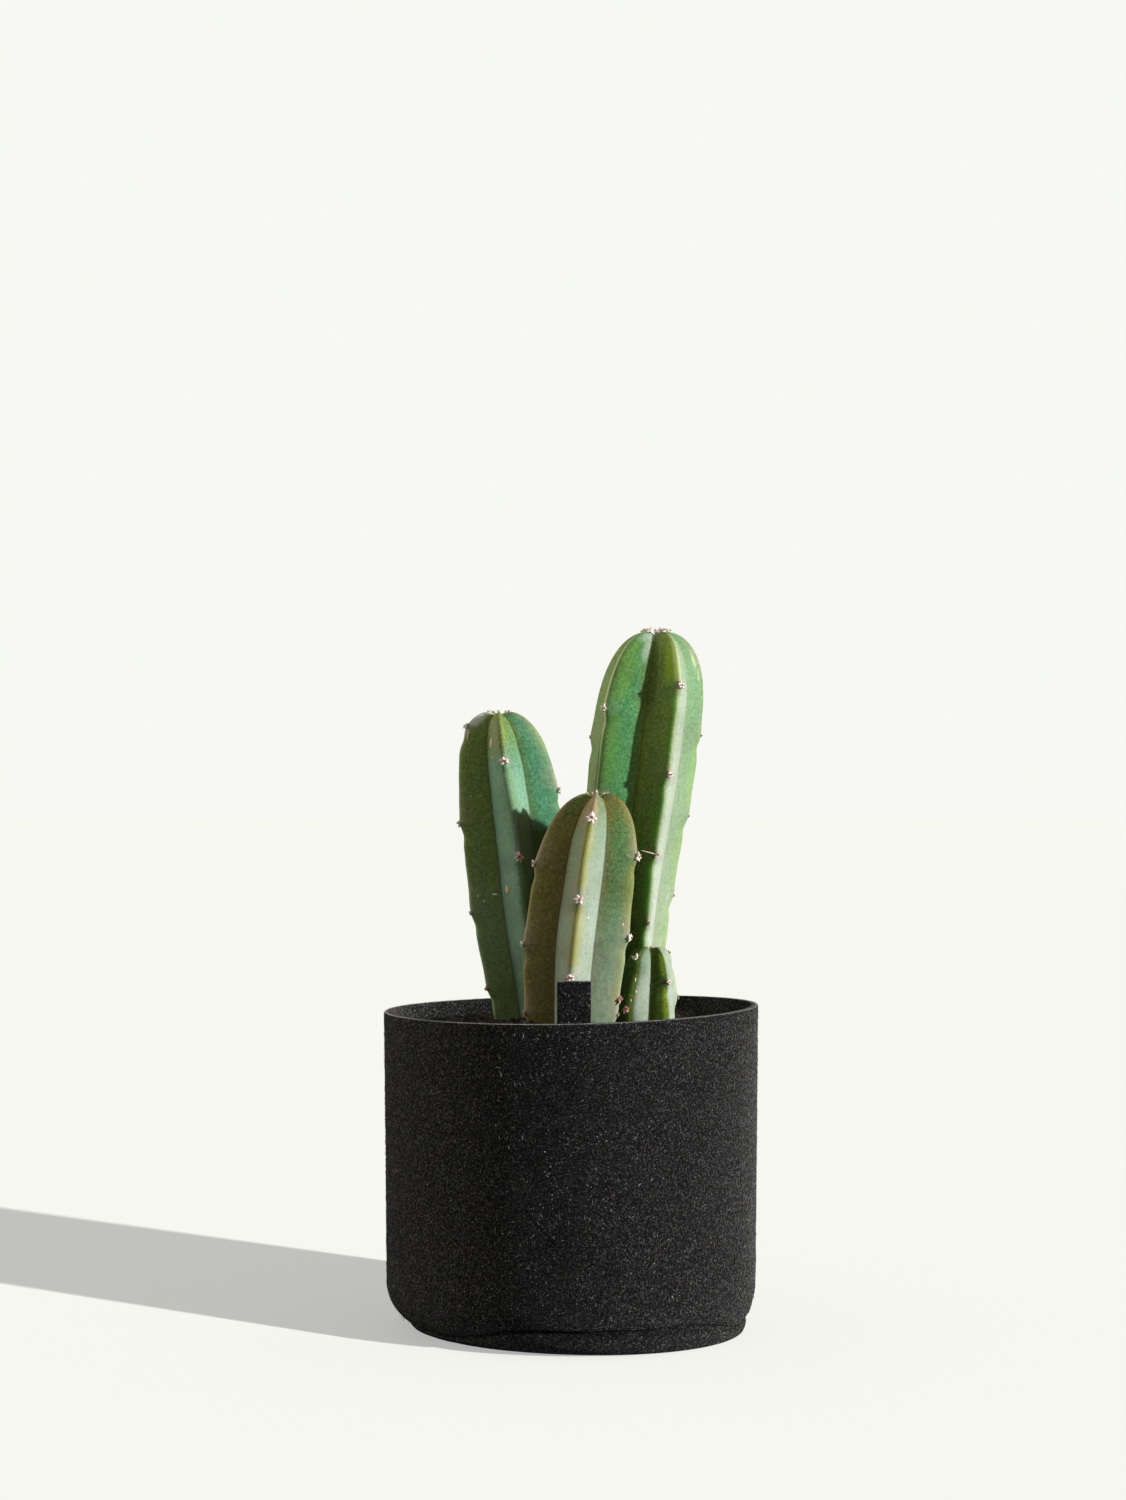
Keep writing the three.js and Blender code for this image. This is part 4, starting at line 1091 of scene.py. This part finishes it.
# Stage: floor, light and camera, with the viewer in front of the pot
CAMERA_PLACE = (-0.0032, -1.25, 0.2316)
IMAGE_HEIGHT = 1500
FOCAL_PIXELS = 3112
SENSOR = 36.0
PAPER = (0.93, 0.939, 0.896)
SHADE = (0.539, 0.539, 0.539)
KEY = dict(turn=70, height=12.5, angle=2.5, strength=4.4, tint=(1.0, 0.99, 0.96))
LIGHTS = {
    "key": KEY,
    "floor_key": dict(turn=51.5, height=16.5, angle=1.2, strength=14.7, tint=(1.0, 1.0, 1.0)),
    "side": dict(turn=-106, height=14, angle=35, strength=1.35, tint=(1.0, 0.98, 0.88)),
    "pot_key": KEY,
}
FILL = scaled((1.0, 0.92, 0.7), 0.1)
SKY = scaled((1.0, 0.97, 0.88), 0.45)
FLOOR = 0.3
FLOOR_BOUNCE = 0.11
FLOOR_FILL = 0.11
FLOOR_REACH = 9e3


def stage_floor():
    """A plain floor, which shows the camera pale paper with a soft shadow and gives the plant a dim bounce"""
    material = bpy.data.materials.new("floor")
    material.use_nodes = True
    paint = Paint(material.node_tree)
    paint.tree.nodes.clear()
    lit = [p - s for p, s in zip(PAPER, SHADE)]
    diffuse = paint.node("BsdfDiffuse", {"Color": scaled(lit, FLOOR / max(lit))})
    glow = paint.node("Emission", {"Color": [s - FLOOR_FILL for s in SHADE], "Strength": 1.0})
    both = paint.node("AddShader", {0: diffuse.outputs[0], 1: glow.outputs[0]})
    bounce = paint.node("BsdfDiffuse", {"Color": [FLOOR_BOUNCE] * 3})
    seen = paint.node("LightPath").outputs["Is Camera Ray"]
    chosen = paint.node("MixShader", {0: seen, 1: bounce.outputs[0], 2: both.outputs[0]})
    paint.node("OutputMaterial", {"Surface": chosen.outputs[0]})
    corners = FLOOR_REACH * np.array([[-1, -1, 0], [1, -1, 0], [1, 1, 0], [-1, 1, 0]])
    made = add_mesh("floor", corners, [np.array([[0, 1, 2, 3]])], material)
    return made


def studio():
    """Soft light from all round, brighter from above, with plain paper behind the object"""
    world = bpy.data.worlds.new("studio")
    world.use_nodes = True
    paint = Paint(world.node_tree)
    seen = paint.node("LightPath").outputs["Is Camera Ray"]
    direction = paint.node("TexCoord").outputs["Generated"]
    up = paint.node("SeparateXYZ", {0: direction}).outputs[2]
    sky = paint.mixed(paint.span(up, 0.0, 0.9), FILL, SKY)
    paint.fill(paint.tree.nodes["Background"].inputs["Color"], paint.mixed(seen, sky, PAPER))
    bpy.context.scene.world = world


def sun(name, lamp):
    """A sun that shines from an angle round the object and a height above the floor"""
    light = bpy.data.lights.new(name, "SUN")
    light.energy = lamp["strength"]
    light.angle = math.radians(lamp["angle"])
    light.color = lamp["tint"]
    height = math.radians(lamp["height"])
    towards = Vector(placed(lamp["turn"], np.array([math.cos(height), math.sin(height)])))
    linked(name, light).rotation_euler = towards.to_track_quat("Z", "Y").to_euler()


def viewer():
    data = bpy.data.cameras.new("camera")
    data.sensor_width = SENSOR
    data.lens = FOCAL_PIXELS / IMAGE_HEIGHT * SENSOR
    camera = linked("camera", data)
    camera.location = CAMERA_PLACE
    camera.rotation_euler = (math.radians(90), 0, 0)
    bpy.context.scene.camera = camera
    bpy.context.scene.view_settings.view_transform = "Standard"


def listed(name, state, pieces):
    """A collection of pieces that a light's reach includes or excludes"""
    made = bpy.data.collections.new(name)
    for piece in pieces:
        made.objects.link(piece)
    for entry in made.collection_objects:
        entry.light_linking.link_state = state
    return made


def share_lights(floor, wall, blockers):
    """The floor's own sun lights it alone, and the wall's sun isn't held up by the stems"""
    lights = {name: bpy.data.objects[name].light_linking for name in LIGHTS}
    lights["floor_key"].receiver_collection = listed("floor_key_reach", "INCLUDE", [floor])
    lights["side"].receiver_collection = listed("side_reach", "EXCLUDE", [floor])
    lights["key"].receiver_collection = listed("key_reach", "EXCLUDE", [floor, *wall])
    lights["pot_key"].receiver_collection = listed("pot_key_reach", "INCLUDE", wall)
    lights["pot_key"].blocker_collection = listed("pot_key_blockers", "INCLUDE", blockers)


def kept(piece, slot, *nodes):
    """A piece on the part's one body, with the nodes that it replaces hidden. Its slot is not used"""
    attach(piece, "root")
    if nodes:
        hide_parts(*nodes)
    return piece


floor = stage_floor()
studio()
for name, lamp in LIGHTS.items():
    sun(name, lamp)
viewer()
felt = felt_material()
wall = kept(felt_wall(felt), "felt", "felt_wall")
base = kept(felt_base(felt), "felt", "felt_base")
tab = kept(felt_tab(felt), "felt", "felt_tab")
fibres = kept(felt_fibres(fibre_material()), "felt")
soil = soil_material()
bed = kept(soil_body(soil), "soil", "soil")
kept(soil_crumbs(soil), "soil")
share_lights(floor, [wall, fibres], [wall, base, tab, bed])
wool, spines = wool_material(), spine_material()
for name, stem in STEMS.items():
    kept(stem_body(name, stem, skin_material(name + "_skin", SKINS[name])), "cactus_skin", name)
    areoles = areole_frames(stem)
    kept(areole_wool(name, stem, areoles, wool), "cactus_skin")
    kept(areole_spines(name, stem, areoles, spines), "cactus_skin")
